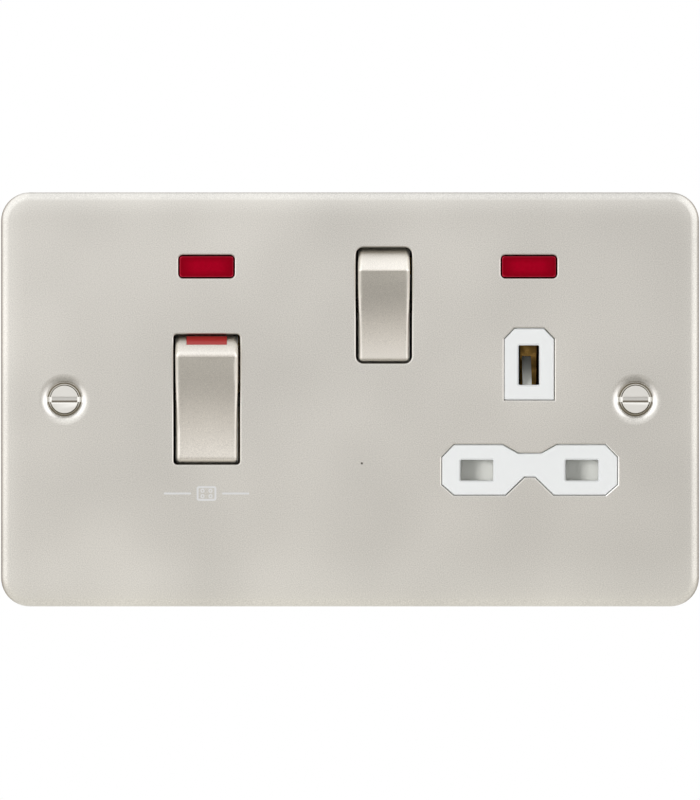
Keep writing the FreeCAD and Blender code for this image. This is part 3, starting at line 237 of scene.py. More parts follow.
def pressed_plate(name, colour, roughness, grain, width, height, corner):
    """Satin nickel on a pressed sheet: a slight bow that grades the sheen, an edge rolled down to a rim
    with painted shade, painted shade and highlight on the lips round the cut-outs, a painted glow in the
    dimples and one small flaw in the plating."""
    # The roll and the bow are heights in millimetres, which bump turns into slopes.
    roll_width, roll_depth, roll_start = 4.3 * MM, 0.14, 0.02
    bow_across, bow_up = 0.9, 0.7
    dimples_from = 54 * MM
    flaw = (2.5 * MM, -13.5 * MM)
    material, tree, surface, place = satin_nickel(name, colour, roughness, grain)
    spot = place["Object"]

    # The roll starts inside the edge, round a corner's own middle, and the bow is a shallow bowl.
    # The box is a metre deep, so that depth never counts as beyond it.
    size = add(tree, "VectorMath", (spot,), operation="ABSOLUTE")[0]
    flat_box = (width / 2 - corner, 1.0, height / 2 - corner)
    over = add(tree, "VectorMath", (size, flat_box), operation="SUBTRACT")[0]
    outside = add(tree, "VectorMath", (over, (0.0, 0.0, 0.0)), operation="MAXIMUM")[0]
    beyond = add(tree, "VectorMath", (outside,), operation="LENGTH")["Value"]
    past = add(tree, "Math", (beyond, roll_width), operation="DIVIDE")[0]
    roll = add(tree, "Math", (past, 3.0), operation="POWER")[0]
    bowl = (math.sqrt(bow_across) * 2 / width, 0.0, math.sqrt(bow_up) * 2 / height)
    bent = add(tree, "VectorMath", (spot, bowl), operation="MULTIPLY")[0]
    bow = add(tree, "VectorMath", (bent, bent), operation="DOT_PRODUCT")["Value"]
    fall = add(tree, "Math", (roll, roll_depth, bow), operation="MULTIPLY_ADD")[0]
    grained = surface.inputs["Normal"].links[0].from_socket
    bump = {"Height": fall, "Distance": 1.0 * MM, "Strength": 1.0, "Normal": grained}
    wire(surface, {"Normal": add(tree, "Bump", bump, invert=True)[0]})

    # Where a point lies and which way it faces tell the lips, the dimples and the rim apart.
    facing = add(tree, "SeparateXYZ", (place["Normal"],))
    sideways = add(tree, "Math", (facing["X"],), operation="ABSOLUTE")[0]
    across = add(tree, "SeparateXYZ", (size,))["X"]
    inner = add(tree, "Math", (across, dimples_from), operation="LESS_THAN")[0]
    outer = add(tree, "Math", (across, dimples_from), operation="GREATER_THAN")[0]
    flat_part = add(tree, "Math", (past, roll_start), operation="LESS_THAN")[0]
    rolled_part = add(tree, "Math", (past, roll_start), operation="GREATER_THAN")[0]
    leaning = add(tree, "MapRange", (facing["Y"], -1.0, 0.0, 0.0, 1.0))[0]
    rounded = add(tree, "ValToRGB", (leaning,), [
        (0.01, BLACK), (0.07, WHITE), (0.5, WHITE), (0.75, BLACK)])[0]
    within = add(tree, "Math", (rounded, inner), operation="MULTIPLY")[0]
    lip = add(tree, "Math", (within, flat_part), operation="MULTIPLY")[0]
    # Painted shade and highlight on the lips: those that face up are the darkest, and those that
    # face sideways the brightest.
    upwards = add(tree, "MapRange", (facing["Z"], -1.0, 1.0, 0.0, 1.0))[0]
    lip_shading = add(tree, "ValToRGB", (upwards,), [
        (0.2, shade(colour, 0.85)), (0.5, shade(colour, 1.25)), (0.75, shade(colour, 0.66))])[0]
    plain = surface.inputs["Base Color"].links[0].from_socket
    lipped = add(tree, "Mix", {"Factor": lip, "A": plain, "B": lip_shading}, data_type="RGBA")["Result"]

    # Painted reflection: the dimples' sideways-facing slopes glow almost white.
    dished = add(tree, "MapRange", (sideways, 0.12, 0.34, 0.0, 0.9))[0]
    dished_out = add(tree, "Math", (dished, outer), operation="MULTIPLY")[0]
    dimple = add(tree, "Math", (dished_out, flat_part), operation="MULTIPLY")[0]
    bright = rgba(srgb("#FBF9F5"))
    dimples_glowing = add(tree, "Mix", {"Factor": dimple, "A": lipped, "B": bright}, data_type="RGBA")["Result"]

    # Painted shade: the rolled edge darkens where it turns to face sideways.
    turned = add(tree, "MapRange", (facing["Y"], -0.7, -0.3, 0.0, 1.0))[0]
    to_side = add(tree, "MapRange", (sideways, 0.3, 0.7, 0.0, 1.0))[0]
    turned_side = add(tree, "Math", (turned, to_side), operation="MULTIPLY")[0]
    on_rim = add(tree, "Math", (turned_side, rolled_part), operation="MULTIPLY")[0]
    rim = add(tree, "ValToRGB", (on_rim,), [(0.0, WHITE), (1.0, srgb("#A89E90"))])[0]
    edged = add(tree, "Mix", {"Factor": 1.0, "A": dimples_glowing, "B": rim},
                data_type="RGBA", blend_type="MULTIPLY")["Result"]

    from_flaw = (-flaw[0], 0.0, -flaw[1])
    away = add(tree, "VectorMath", (spot, (1.0, 0.0, 1.0), from_flaw), operation="MULTIPLY_ADD")[0]
    far = add(tree, "VectorMath", (away,), operation="LENGTH")["Value"]
    clear = add(tree, "MapRange", (far, 0.12 * MM, 0.32 * MM, 0.0, 1.0))[0]
    sound = add(tree, "ValToRGB", (clear,), [(0.0, srgb("#5A554E")), (1.0, WHITE)])[0]
    wire(surface, {"Base Color": add(tree, "Mix", {"Factor": 1.0, "A": edged, "B": sound},
                                     data_type="RGBA", blend_type="MULTIPLY")["Result"]})
    return material


def turned_nickel(name, colour, shadow, from_middle):
    """Bright turned head: painted shade in its grooves and slot, and darker hatching on its lower foot.
    """
    hatch_pitch, slot_length = 0.3 * MM, 5.44 * MM
    material, tree, surface = started(name)
    place = add(tree, "TexCoord")
    spot = place["Object"]
    size = add(tree, "VectorMath", (spot,), operation="ABSOLUTE")[0]
    centring = ((1.0, 0.0, 1.0), (-from_middle, 0.0, 0.0))
    centred = add(tree, "VectorMath", (size, *centring), operation="MULTIPLY_ADD")[0]
    reach = add(tree, "VectorMath", (centred,), operation="LENGTH")["Value"]
    # The ramps below run from just inside the flat top, at 0, to the foot of the skirt, at 1.
    radius = add(tree, "MapRange", (reach, 2.6 * MM, 3.6 * MM, 0.0, 1.0))[0]
    across, _, up = add(tree, "SeparateXYZ", (centred,))
    z = add(tree, "SeparateXYZ", (spot,))["Z"]

    # Painted shade: dark rings in the grooves round the flat top and at the foot of the skirt.
    grooves = add(tree, "ValToRGB", (radius,), [
        (0.26, BLACK), (0.34, WHITE), (0.46, WHITE), (0.52, BLACK), (0.62, BLACK), (0.7, WHITE)])[0]
    # Darker diagonal hatching over the foot, only on the lower part of the head.
    aslant = add(tree, "Math", (across, z), operation="SUBTRACT")[0]
    phase = add(tree, "Math", (aslant, 2 * math.pi / hatch_pitch), operation="MULTIPLY")[0]
    wave = add(tree, "Math", (phase,), operation="SINE")[0]
    ripple = add(tree, "MapRange", (wave, -1.0, 1.0, 0.55, 1.0))[0]
    lower = add(tree, "MapRange", (z, -1.8 * MM, -0.7 * MM, 1.0, 0.0))[0]
    lower_hatch = add(tree, "Math", (ripple, lower), operation="MULTIPLY")[0]
    foot = add(tree, "ValToRGB", (radius,), [(0.26, BLACK), (0.34, WHITE)])[0]
    foot_hatch = add(tree, "Math", (lower_hatch, foot), operation="MULTIPLY")[0]
    dark = add(tree, "Math", (grooves, foot_hatch), operation="MAXIMUM")[0]
    beside_slot = add(tree, "MapRange", (up, 0.5 * MM, 0.6 * MM, 0.0, 1.0))[0]
    shade_and_hatch = add(tree, "Math", (dark, beside_slot), operation="MULTIPLY")[0]
    turned = add(tree, "ValToRGB", (shade_and_hatch,), [(0.0, colour), (1.0, shadow)])[0]

    # Painted shade in the slot: a dark band along its lower wall and a darker floor.
    height = add(tree, "MapRange", (z, -1.0 * MM, 1.0 * MM, 0.0, 1.0))[0]
    slot_wall_shadow, floor = (0.3, 0.27, 0.23), shade(WHITE, 0.8)
    slot = add(tree, "ValToRGB", (height,), [
        (0.18, WHITE), (0.22, slot_wall_shadow), (0.37, slot_wall_shadow), (0.41, floor), (0.76, floor), (0.79, WHITE)])[0]
    along = add(tree, "Math", (across,), operation="ABSOLUTE")[0]
    in_slot = add(tree, "Math", (along, slot_length / 2), operation="LESS_THAN")[0]
    noise = add(tree, "TexNoise", {"Vector": spot, "Scale": grains(0.12 * MM)})["Fac"]
    wire(surface, {
        "Metallic": 1.0,
        "Roughness": 0.34,
        "Base Color": add(tree, "Mix", {"Factor": in_slot, "A": turned, "B": slot},
                          data_type="RGBA", blend_type="MULTIPLY")["Result"],
        "Normal": add(tree, "Bump", {"Height": noise, "Distance": 0.0008 * MM, "Strength": 1.0})[0],
    })
    return material


def moulded(name, colour, roughness, waviness, size, arris=1.0):
    """Moulded plastic: an even colour, a mould's slight waviness, a painted shade on its rounded arrises.
    """
    material, tree, surface = started(name)
    place = add(tree, "TexCoord")
    noise = add(tree, "TexNoise", {"Vector": place["Object"], "Scale": grains(size)})["Fac"]
    wire(surface, {
        "Base Color": rgba(colour),
        "Roughness": roughness,
        "Normal": add(tree, "Bump", {"Height": noise, "Distance": waviness, "Strength": 1.0})[0],
    })
    # Painted shade on the arrises that turn away from the front.
    if arris < 1.0:
        facing = add(tree, "SeparateXYZ", (place["Normal"],))
        turned = add(tree, "MapRange", (facing["Y"], -1.0, -0.7, 0.0, 1.0))[0]
        shaded = shade(colour, arris)
        wire(surface, {"Base Color": add(tree, "ValToRGB", (turned,), [
            (0.02, colour), (0.12, shaded), (0.3, shaded), (0.6, colour)])[0]})
    return material


def milled_brass(name, colour):
    """Brass strip with handling tarnish: darker browner clouds over a bright yellow metal."""
    material, tree, surface = started(name)
    place = add(tree, "TexCoord")
    tarnish = {"Vector": place["Object"], "Scale": grains(2.6 * MM), "Detail": 4.0}
    clouds = add(tree, "TexNoise", tarnish)["Fac"]
    wire(surface, {
        "Metallic": 1.0,
        "Base Color": add(tree, "ValToRGB", (clouds,), [(0.35, shade(colour, 0.62)), (0.62, colour)])[0],
        "Roughness": add(tree, "MapRange", (clouds, 0.35, 0.65, 0.45, 0.26))[0],
    })
    return material


def drawn_wire(name, colour, roughness):
    """Plated or drawn wire: plain bright metal with a slight streak."""
    material, tree, surface = started(name)
    place = add(tree, "TexCoord")
    streak = add(tree, "TexNoise", {"Vector": place["Object"], "Scale": grains(0.5 * MM)})["Fac"]
    wire(surface, {
        "Metallic": 1.0,
        "Roughness": roughness,
        "Base Color": add(tree, "ValToRGB", (streak,), [(0.3, shade(colour, 0.85)), (0.7, colour)])[0],
    })
    return material


def tinted_lens(name, deep, bright, low, high):
    """Red diffusing plastic: a painted glow where the lamp shines through, a painted highlight on its
    bevel and a painted shadow round its seat.
    """
    flange = 1.1 * MM
    material, tree, surface = started(name)
    place = add(tree, "TexCoord")
    spot = place["Object"]
    middle = ((low.x + high.x) / 2, 0.0, (low.z + high.z) / 2)
    moved = add(tree, "VectorMath", (spot, middle), operation="SUBTRACT")[0]
    away = add(tree, "SeparateXYZ", (add(tree, "VectorMath", (moved,), operation="ABSOLUTE")[0],))
    # The painted glow fades towards the ends of the lens and towards its long edges.
    wide = add(tree, "MapRange", (away["X"], 2.6 * MM, 5.4 * MM, 1.0, 0.0))[0]
    tall = add(tree, "MapRange", (away["Z"], 0.7 * MM, 2.0 * MM, 1.0, 0.0))[0]
    lit = add(tree, "Math", (wide, tall), operation="MULTIPLY")[0]
    noise = add(tree, "TexNoise", {"Vector": spot, "Scale": grains(0.7 * MM), "Detail": 3.0})["Fac"]
    cloud = add(tree, "MapRange", (noise, 0.3, 0.7, 0.75, 1.15))[0]
    glow = add(tree, "Math", (lit, cloud), operation="MULTIPLY")[0]
    body = add(tree, "ValToRGB", (glow,), [(0.0, deep), (1.0, bright)])[0]
    # Painted highlight on the bevel, where the lens turns away from the front.
    facing = add(tree, "SeparateXYZ", (place["Normal"],))
    bevel = add(tree, "MapRange", (facing["Y"], -0.97, -0.8, 0.0, 1.0))[0]
    pale = rgba(srgb("#C62A40"))
    edge = add(tree, "Mix", {"Factor": bevel, "A": body, "B": pale}, data_type="RGBA")["Result"]
    # Painted shadow in a band along the lens's seat, inside its flange.
    past_x = add(tree, "Math", (away["X"], (high.x - low.x) / 2 - flange), operation="SUBTRACT")[0]
    past_z = add(tree, "Math", (away["Z"], (high.z - low.z) / 2 - flange), operation="SUBTRACT")[0]
    to_edge = add(tree, "Math", (past_x, past_z), operation="MAXIMUM")[0]
    seat = add(tree, "MapRange", (to_edge, -0.2 * MM, -0.06 * MM, 0.0, 1.0))[0]
    shadow = rgba(srgb("#2A0508"))
    wire(surface, {
        "Roughness": 0.12,
        "Specular IOR Level": 0.02,
        "Base Color": add(tree, "Mix", {"Factor": seat, "A": edge, "B": shadow},
                          data_type="RGBA")["Result"],
    })
    return material


def lamp_glass(name):
    """Clear glass of the neon capsule, which shows its ends and the leads behind."""
    material, _, surface = started(name)
    wire(surface, {
        "Base Color": rgba(srgb("#F4ECE6")),
        "Roughness": 0.03,
        "IOR": 1.5,
        "Transmission Weight": 1.0,
    })
    return material


def resistor_paint(name, body):
    """Lacquered resistor with plain colour bands round it."""
    material, tree, surface = started(name)
    place = add(tree, "TexCoord")
    y = add(tree, "SeparateXYZ", (place["Object"],))["Y"]
    # The resistors lie along Y between these depths.
    along = add(tree, "MapRange", (y, 5.0 * MM, 9.0 * MM, 0.0, 1.0))[0]
    brown, red, gold = srgb("#5A3320"), srgb("#A32A22"), srgb("#B08D3A")
    bands = add(tree, "ValToRGB", (along,), [
        (0.0, body), (0.18, brown), (0.3, body), (0.4, red), (0.52, body), (0.74, gold), (0.86, body)])
    bands[0].node.color_ramp.interpolation = "CONSTANT"
    wire(surface, {"Roughness": 0.35, "Base Color": bands[0]})
    return material


def print_ink(name, colour):
    """Pad printed ink: a thin matt film a little paler than the metal."""
    material, _, surface = started(name)
    wire(surface, {"Base Color": rgba(colour), "Roughness": 0.55})
    return material


def coated(node, material):
    """Puts one material in every slot of a CAD node."""
    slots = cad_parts[node].material_slots
    if not slots:
        raise RuntimeError("the node " + node + " has no material slot")
    for place in slots:
        place.material = material


class FinishSettings(bpy.types.PropertyGroup):
    """Colours and sheens of the CAD part's materials."""

    plate: bpy.props.FloatVectorProperty(
        name="Plate", description="Satin nickel of the front plate", subtype="COLOR",
        default=srgb("#C7C4BD"))
    plating: bpy.props.FloatVectorProperty(
        name="Rocker plating", description="Nickel of the rocker caps", subtype="COLOR",
        default=srgb("#D6D1C8"))
    # Colour of the painted highlight along the caps' long edges.
    flank_highlight: bpy.props.FloatVectorProperty(
        name="Polished edges", description="Nickel of the caps' long edges, bright from handling",
        subtype="COLOR", default=srgb("#E3DFD8"))
    white: bpy.props.FloatVectorProperty(
        name="White moulding", description="Pads, housing and carrier", subtype="COLOR",
        default=srgb("#EEF0F0"))
    grey: bpy.props.FloatVectorProperty(
        name="Shutter", description="Pale plastic of the shutter", subtype="COLOR",
        default=srgb("#E4E4DE"))
    black: bpy.props.FloatVectorProperty(
        name="Black plastic", description="Frames, dollies and plungers", subtype="COLOR",
        default=srgb("#15130F"))
    brass: bpy.props.FloatVectorProperty(
        name="Brass", description="Terminals, straps and clips", subtype="COLOR",
        default=srgb("#B08A4A"))
    lens: bpy.props.FloatVectorProperty(
        name="Lens", description="Outer red of the neon lenses", subtype="COLOR",
        default=srgb("#870016"))
    # Colour of the painted glow in the middle of the lens.
    lens_glow: bpy.props.FloatVectorProperty(
        name="Lens middle", description="Brighter red in the middle", subtype="COLOR",
        default=srgb("#A40120"))
    flag: bpy.props.FloatVectorProperty(
        name="Flag", description="Red flag in the cooker rocker", subtype="COLOR",
        default=srgb("#BC3836"))
    plate_roughness: bpy.props.FloatProperty(
        name="Plate roughness", description="Sheen of the plate, 0 polished to 1 matt",
        default=0.38, min=0.0, max=1.0)
    plating_roughness: bpy.props.FloatProperty(
        name="Plating roughness", description="Sheen of the rocker caps",
        default=0.38, min=0.0, max=1.0)
    plate_corner: bpy.props.FloatProperty(
        name="Plate corner", description="Radius inside which the plate's edge rolls down",
        subtype="DISTANCE", default=6.1 * MM)


class UNIT_OT_finishes(bpy.types.Operator):
    """Give every CAD node the material it is made of"""

    bl_idname = "cooker_unit.finishes"
    bl_label = "Finishes"

    def execute(self, context):
        c = context.scene.cooker_finishes
        zinc = drawn_wire("zinc_plated_steel", srgb("#BFBFB8"), 0.36)
        brass = milled_brass("milled_brass", c.brass)
        white = moulded("white_urea_moulding", c.white, 0.28, 0.0008 * MM, 1.6 * MM, 0.84)
        rear = moulded("matt_urea_housing", c.white, 0.55, 0.003 * MM, 0.5 * MM)
        black = moulded("black_nylon", c.black, 0.5, 0.002 * MM, 0.25 * MM)
        glass = lamp_glass("neon_glass")
        # The grain of blasted steel is too fine to show, so caps and plate have it drawn coarser.
        plating = highlit_cap("rocker_nickel", c.plating, c.plating_roughness, 0.14 * MM, c.flank_highlight)
        low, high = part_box("front_plate")
        plate = pressed_plate("satin_nickel_plate", c.plate, c.plate_roughness, 0.2 * MM,
                              high.x - low.x, high.z - low.z, c.plate_corner)
        materials = {
            "front_plate": plate,
            "cooker_rocker_cap": plating,
            "socket_rocker_cap": plating,
            "front_moulding": white,
            "rear_housing": rear,
            "contact_carrier": white,
            "socket_shutter": moulded("grey_acetal", c.grey, 0.4, 0.001 * MM, 0.6 * MM),
            "fixing_screws": zinc,
            "assembly_screws": zinc,
            "terminal_screws": zinc,
            "earth_screw": zinc,
            "cooker_neon_lamp": glass,
            "socket_neon_lamp": glass,
            "neon_resistors": resistor_paint("resistor_lacquer", srgb("#CBB58E")),
            "neon_leads": drawn_wire("tinned_copper_wire", srgb("#C9C9C6"), 0.3),
            "cooker_on_flag": moulded("red_acetal_flag", c.flag, 0.3, 0.001 * MM, 0.5 * MM),
        }
        for name in ("cooker", "socket"):
            node = name + "_neon_lens"
            low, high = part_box(node)
            materials[node] = tinted_lens(node + "_red", c.lens, c.lens_glow, low, high)
        steel = drawn_wire("spring_steel", srgb("#A9A9A6"), 0.32)
        for node in ("cooker_plunger_springs", "socket_plunger_spring", "shutter_spring"):
            materials[node] = steel
        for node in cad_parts:
            if node in materials:
                continue
            if "frame" in node or "dolly" in node or "plunger" in node:
                materials[node] = black
            else:
                materials[node] = brass
        for node, material in materials.items():
            coated(node, material)
        return {"FINISHED"}


# Fixing screws


class ScrewSettings(bpy.types.PropertyGroup):
    """Sizes of the slotted fixing screws."""

    spacing: bpy.props.FloatProperty(
        name="Spacing", description="Distance between the two screws", subtype="DISTANCE",
        default=120.6 * MM)
    head_radius: bpy.props.FloatProperty(
        name="Head radius", description="Radius of the head where it seats", subtype="DISTANCE",
        default=3.6 * MM)
    ledge_radius: bpy.props.FloatProperty(
        name="Ledge radius", description="Radius of the turned ledge under the top",
        subtype="DISTANCE", default=3.35 * MM)
    top_radius: bpy.props.FloatProperty(
        name="Top radius", description="Radius of the flat top", subtype="DISTANCE",
        default=2.85 * MM)
    slot_width: bpy.props.FloatProperty(
        name="Slot width", description="Width of the slot", subtype="DISTANCE", default=1.15 * MM)
    slot_depth: bpy.props.FloatProperty(
        name="Slot depth", description="Depth of the slot", subtype="DISTANCE", default=0.7 * MM)
    pitch: bpy.props.FloatProperty(
        name="Thread pitch", description="Rise of one turn of the thread", subtype="DISTANCE",
        default=0.6 * MM)
    colour: bpy.props.FloatVectorProperty(
        name="Colour", description="Nickel of the screws", subtype="COLOR",
        default=srgb("#DDDBD5"))
    # Colour of the painted shade in the turned grooves and the slot.
    groove_shade: bpy.props.FloatVectorProperty(
        name="Groove", description="Grime in the turned grooves", subtype="COLOR",
        default=srgb("#6E6550"))


def turned_bar(x, start, end, radius, sides, name):
    """Cylinder along Y from one depth to another."""
    bpy.ops.mesh.primitive_cylinder_add(
        vertices=sides, radius=radius, depth=end - start,
        location=(x, (start + end) / 2, 0), rotation=(math.pi / 2, 0, 0))
    bar = bpy.context.object
    settle(bar, name)
    return bar


def slot_cutter(place, size, tilt, turn):
    """Box that cuts one flat of the slot, tilted about X and turned about Z."""
    bpy.ops.mesh.primitive_cube_add(size=1.0, location=place, rotation=(tilt, 0, turn))
    cutter = bpy.context.object
    cutter.scale = size
    settle(cutter, "slot_cutter")
    return cutter


def screw_head(x, s):
    """Head with a sloped skirt, a turned ledge and groove and a flat top, cut by its slot."""
    seat, rim, ledge, top = -3.55 * MM, -3.61 * MM, -4.05 * MM, -4.55 * MM
    ledge_width, groove_taper, groove_width = 0.2 * MM, 0.03 * MM, 0.1 * MM
    groove_depth, rounding = 0.25 * MM, 0.07 * MM
    head = turned_bar(x, rim, seat, s.head_radius, 128, "screw_head")
    pick(head, lambda middle, normal: normal.y < -0.9)
    turned_away = ledge_width + groove_taper + groove_width
    steps = (
        (s.head_radius - s.ledge_radius, rim - ledge),
        (ledge_width, 0.0),
        (groove_taper, -groove_depth),
        (groove_width, 0.0),
        (s.ledge_radius - turned_away - s.top_radius - rounding, groove_depth + ledge - top - rounding),
        (rounding, rounding),
    )
    for width, rise in steps:
        bpy.ops.mesh.inset(thickness=width, depth=0.0)
        if rise:
            bpy.ops.transform.translate(value=(0, -rise, 0))
    bpy.ops.object.mode_set(mode="OBJECT")

    # The slot has a straight upper wall, a lower wall that leans with a worn lip, and sloped ends.
    reach, half = 9 * MM, s.slot_width / 2
    lean, lip_lean, end_turn = math.radians(14), math.radians(-16), math.radians(20)
    cuts = [
        ((x, top, 0.06 * MM), (reach, 2 * s.slot_depth, s.slot_width - 0.12 * MM), 0, 0),
        ((x, top, 0.14 * MM - half), (reach, 1.32 * s.slot_depth, 0.26 * MM), lean, 0),
        ((x, top - 0.465 * MM, -half - 0.15 * MM), (reach, 1.0 * MM, 0.4 * MM), lip_lean, 0),
    ]
    for side in (-1, 1):
        place = (x + side * 3.15 * MM, top + 0.36 * MM, 0)
        cuts.append((place, (0.7 * MM, 1.0 * MM, s.slot_width), 0, side * end_turn))
    for cut in cuts:
        subtract(head, slot_cutter(*cut))
    bevelled(head, 0.03 * MM, 2, 40.0)
    finish_mesh(head, 35.0)
    return head


def screw_shank(x, s):
    """Plain neck and a thread raised as one strip wound round the core."""
    neck_start, neck_end, tip = -3.6 * MM, 0.3 * MM, 21.45 * MM
    neck_radius, core, crest, sides = 1.55 * MM, 1.42 * MM, 1.75 * MM, 48
    foot, half_foot, half_crest = core - 0.02 * MM, s.pitch * 0.42, 0.04 * MM
    first_turn, bare_tip = 0.05 * MM, 0.9 * MM
    neck = turned_bar(x, neck_start, neck_end, neck_radius, sides, "screw_neck")
    rod = turned_bar(x, neck_end, tip, core, sides, "screw_core")
    bevelled(rod, 0.25 * MM, 1, 60.0)
    mesh = bpy.data.meshes.new("screw_thread")
    profile = [(foot, 0.0, -half_foot), (crest, 0.0, -half_crest), (crest, 0.0, half_crest),
               (foot, 0.0, half_foot)]
    mesh.from_pydata(profile, [(0, 1), (1, 2), (2, 3), (3, 0)], [])
    thread = bpy.data.objects.new("screw_thread", mesh)
    bpy.context.collection.objects.link(thread)
    only(thread)
    modifier = thread.modifiers.new("wind", "SCREW")
    modifier.axis = "Z"
    modifier.screw_offset = s.pitch
    modifier.iterations = int((tip - neck_end - bare_tip) / s.pitch)
    modifier.steps = 32
    modifier.use_normal_calculate = True
    bpy.ops.object.modifier_apply(modifier=modifier.name)
    bpy.ops.object.mode_set(mode="EDIT")
    bpy.ops.mesh.select_mode(type="EDGE")
    bpy.ops.mesh.select_all(action="DESELECT")
    bpy.ops.mesh.select_non_manifold()
    bpy.ops.mesh.edge_face_add()
    bpy.ops.object.mode_set(mode="OBJECT")
    thread.rotation_euler = (-math.pi / 2, 0, 0)
    thread.location = (x, neck_end + half_foot + first_turn, 0)
    settle(thread, "screw_thread")
    finish_mesh(thread, 35.0)
    return [neck, rod, thread]


class UNIT_OT_fixing_screws(bpy.types.Operator):
    """Model the two slotted fixing screws with their rings and threads"""

    bl_idname = "cooker_unit.fixing_screws"
    bl_label = "Fixing screws"

    def execute(self, context):
        s = context.scene.cooker_screws
        material = turned_nickel("turned_nickel_screw", s.colour, s.groove_shade, s.spacing / 2)
        for name, side in (("fixing_screw_left", -1), ("fixing_screw_right", 1)):
            x = side * s.spacing / 2
            screw = joined([screw_head(x, s)] + screw_shank(x, s), name)
            screw.data.materials.clear()
            screw.data.materials.append(material)
            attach(screw, "unit")
            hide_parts("fixing_screws")
        return {"FINISHED"}


# Printed mark


class MarkSettings(bpy.types.PropertyGroup):
    """Place and size of the printed hob pictogram under the cooker switch."""

    centre: bpy.props.FloatVectorProperty(
        name="Centre", description="Middle of the mark across and up the plate", size=2,
        subtype="XYZ", default=(-30.3 * MM, -19.87 * MM))
    width: bpy.props.FloatProperty(
        name="Width", description="Overall width with its two rules", subtype="DISTANCE",
        default=18.05 * MM)
    height: bpy.props.FloatProperty(
        name="Height", description="Height of the pictogram", subtype="DISTANCE",
        default=3.1 * MM)
    stroke: bpy.props.FloatProperty(
        name="Stroke", description="Width of the printed lines", subtype="DISTANCE",
        default=0.42 * MM)
    colour: bpy.props.FloatVectorProperty(
        name="Colour", description="Printing ink", subtype="COLOR", default=srgb("#D7D7D7"))


def ink_patch(x, z, width, height, corner):
    """Thin film of ink with rounded corners, standing just off the plate."""
    clearance = 0.012 * MM
    bpy.ops.mesh.primitive_plane_add(size=1.0, location=(x, FACE_Y - clearance, z),
                                     rotation=(math.pi / 2, 0, 0))
    patch = bpy.context.object
    patch.scale = (width, height, 1)
    settle(patch, "ink_patch")
    bpy.ops.object.mode_set(mode="EDIT")
    bpy.ops.mesh.select_all(action="SELECT")
    bpy.ops.mesh.bevel(offset=corner, segments=6, affect="VERTICES")
    bpy.ops.object.mode_set(mode="OBJECT")
    return patch


def ink_ring(x, z, width, height, corner, stroke):
    """Ink outline: a patch whose inside is taken away."""
    ring = ink_patch(x, z, width, height, corner)
    bpy.ops.object.mode_set(mode="EDIT")
    bpy.ops.mesh.select_all(action="SELECT")
    bpy.ops.mesh.inset(thickness=stroke, depth=0.0)
    bpy.ops.mesh.delete(type="FACE")
    bpy.ops.object.mode_set(mode="OBJECT")
    return ring


class UNIT_OT_printed_mark(bpy.types.Operator):
    """Print a plain hob pictogram between two rules"""

    bl_idname = "cooker_unit.printed_mark"
    bl_label = "Printed mark"

    def execute(self, context):
        s = context.scene.cooker_mark
        x, z = s.centre
        wide = s.height * 1.35
        plate_size, plate_corner, plate_stroke = 0.86 * MM, 0.4 * MM, 0.24 * MM
        rule = (s.width - wide) / 2 - 1.2 * MM
        parts = [ink_ring(x, z, wide, s.height, 0.5 * MM, s.stroke)]
        for side in (-1, 1):
            for up in (-1, 1):
                plate = (x + side * wide * 0.2, z + up * s.height * 0.185)
                parts.append(ink_ring(*plate, plate_size, plate_size, plate_corner, plate_stroke))
            middle = x + side * (s.width - rule) / 2
            parts.append(ink_patch(middle, z, rule, s.stroke, 0.15 * MM))
        mark = joined(parts, "printed_mark")
        modifier = mark.modifiers.new("film", "SOLIDIFY")
        modifier.thickness = 0.01 * MM
        modifier.offset = -1.0
        bpy.ops.object.modifier_apply(modifier=modifier.name)
        finish_mesh(mark, 30.0)
        mark.data.materials.clear()
        mark.data.materials.append(print_ink("pad_printed_ink", s.colour))
        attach(mark, "unit")
        return {"FINISHED"}


# Stage


class StageSettings(bpy.types.PropertyGroup):
    """Camera, lamps and surroundings of the studio."""

    camera_distance: bpy.props.FloatProperty(
        name="Camera distance", description="From the camera to the plate's face",
        subtype="DISTANCE", default=2.4)
    frame_height: bpy.props.FloatProperty(
        name="Frame height", description="Height of the picture at the plate's face",
        subtype="DISTANCE", default=168.93 * MM)
    rise: bpy.props.FloatProperty(
        name="Camera rise", description="Height of the camera over the plate's middle",
        subtype="DISTANCE", default=-0.127 * MM)
    key_power: bpy.props.FloatProperty(
        name="Key power", description="Watts of the soft lamp on the left", default=8.5)
    fill_power: bpy.props.FloatProperty(
        name="Fill power", description="Watts of the weak lamp on the right", default=1.2)
    back_power: bpy.props.FloatProperty(
        name="Back power", description="Watts of the lamp that lights the rear side", default=7.0)
    ambient: bpy.props.FloatProperty(
        name="Ambient", description="Strength of the even light on matt surfaces", default=0.42)
    reflected: bpy.props.FloatProperty(
        name="Reflected", description="Strength of the surroundings that shiny surfaces mirror",
        default=1.0)
    under_card: bpy.props.FloatProperty(
        name="Card strength", description="Brightness of the white card that the lower edge mirrors",
        default=1.15)
    dark_card: bpy.props.FloatProperty(
        name="Dark card strength", description="Brightness of the dark card under the camera, which "
        "the faces of the rockers mirror", default=0.34)
    floor_drop: bpy.props.FloatProperty(
        name="Floor drop", description="Distance from the plate's middle down to the floor",
        subtype="DISTANCE", default=0.6)
    floor: bpy.props.FloatVectorProperty(
        name="Floor", description="Pale floor", subtype="COLOR", default=srgb("#F4F4F3"))
    floor_lift: bpy.props.FloatProperty(
        name="Floor lift", description="Brightness added to the floor towards white", default=0.4)


def lamp(name, place, size, power, colour):
    """Soft square lamp aimed at the middle of the plate; shiny surfaces mirror the room instead."""
    data = bpy.data.lights.new(name, "AREA")
    data.shape = "SQUARE"
    data.size = size
    data.energy = power
    data.color = colour
    obj = bpy.data.objects.new(name, data)
    bpy.context.collection.objects.link(obj)
    obj.location = place
    obj.rotation_euler = (-Vector(place)).to_track_quat("-Z", "Y").to_euler()
    obj.visible_glossy = False


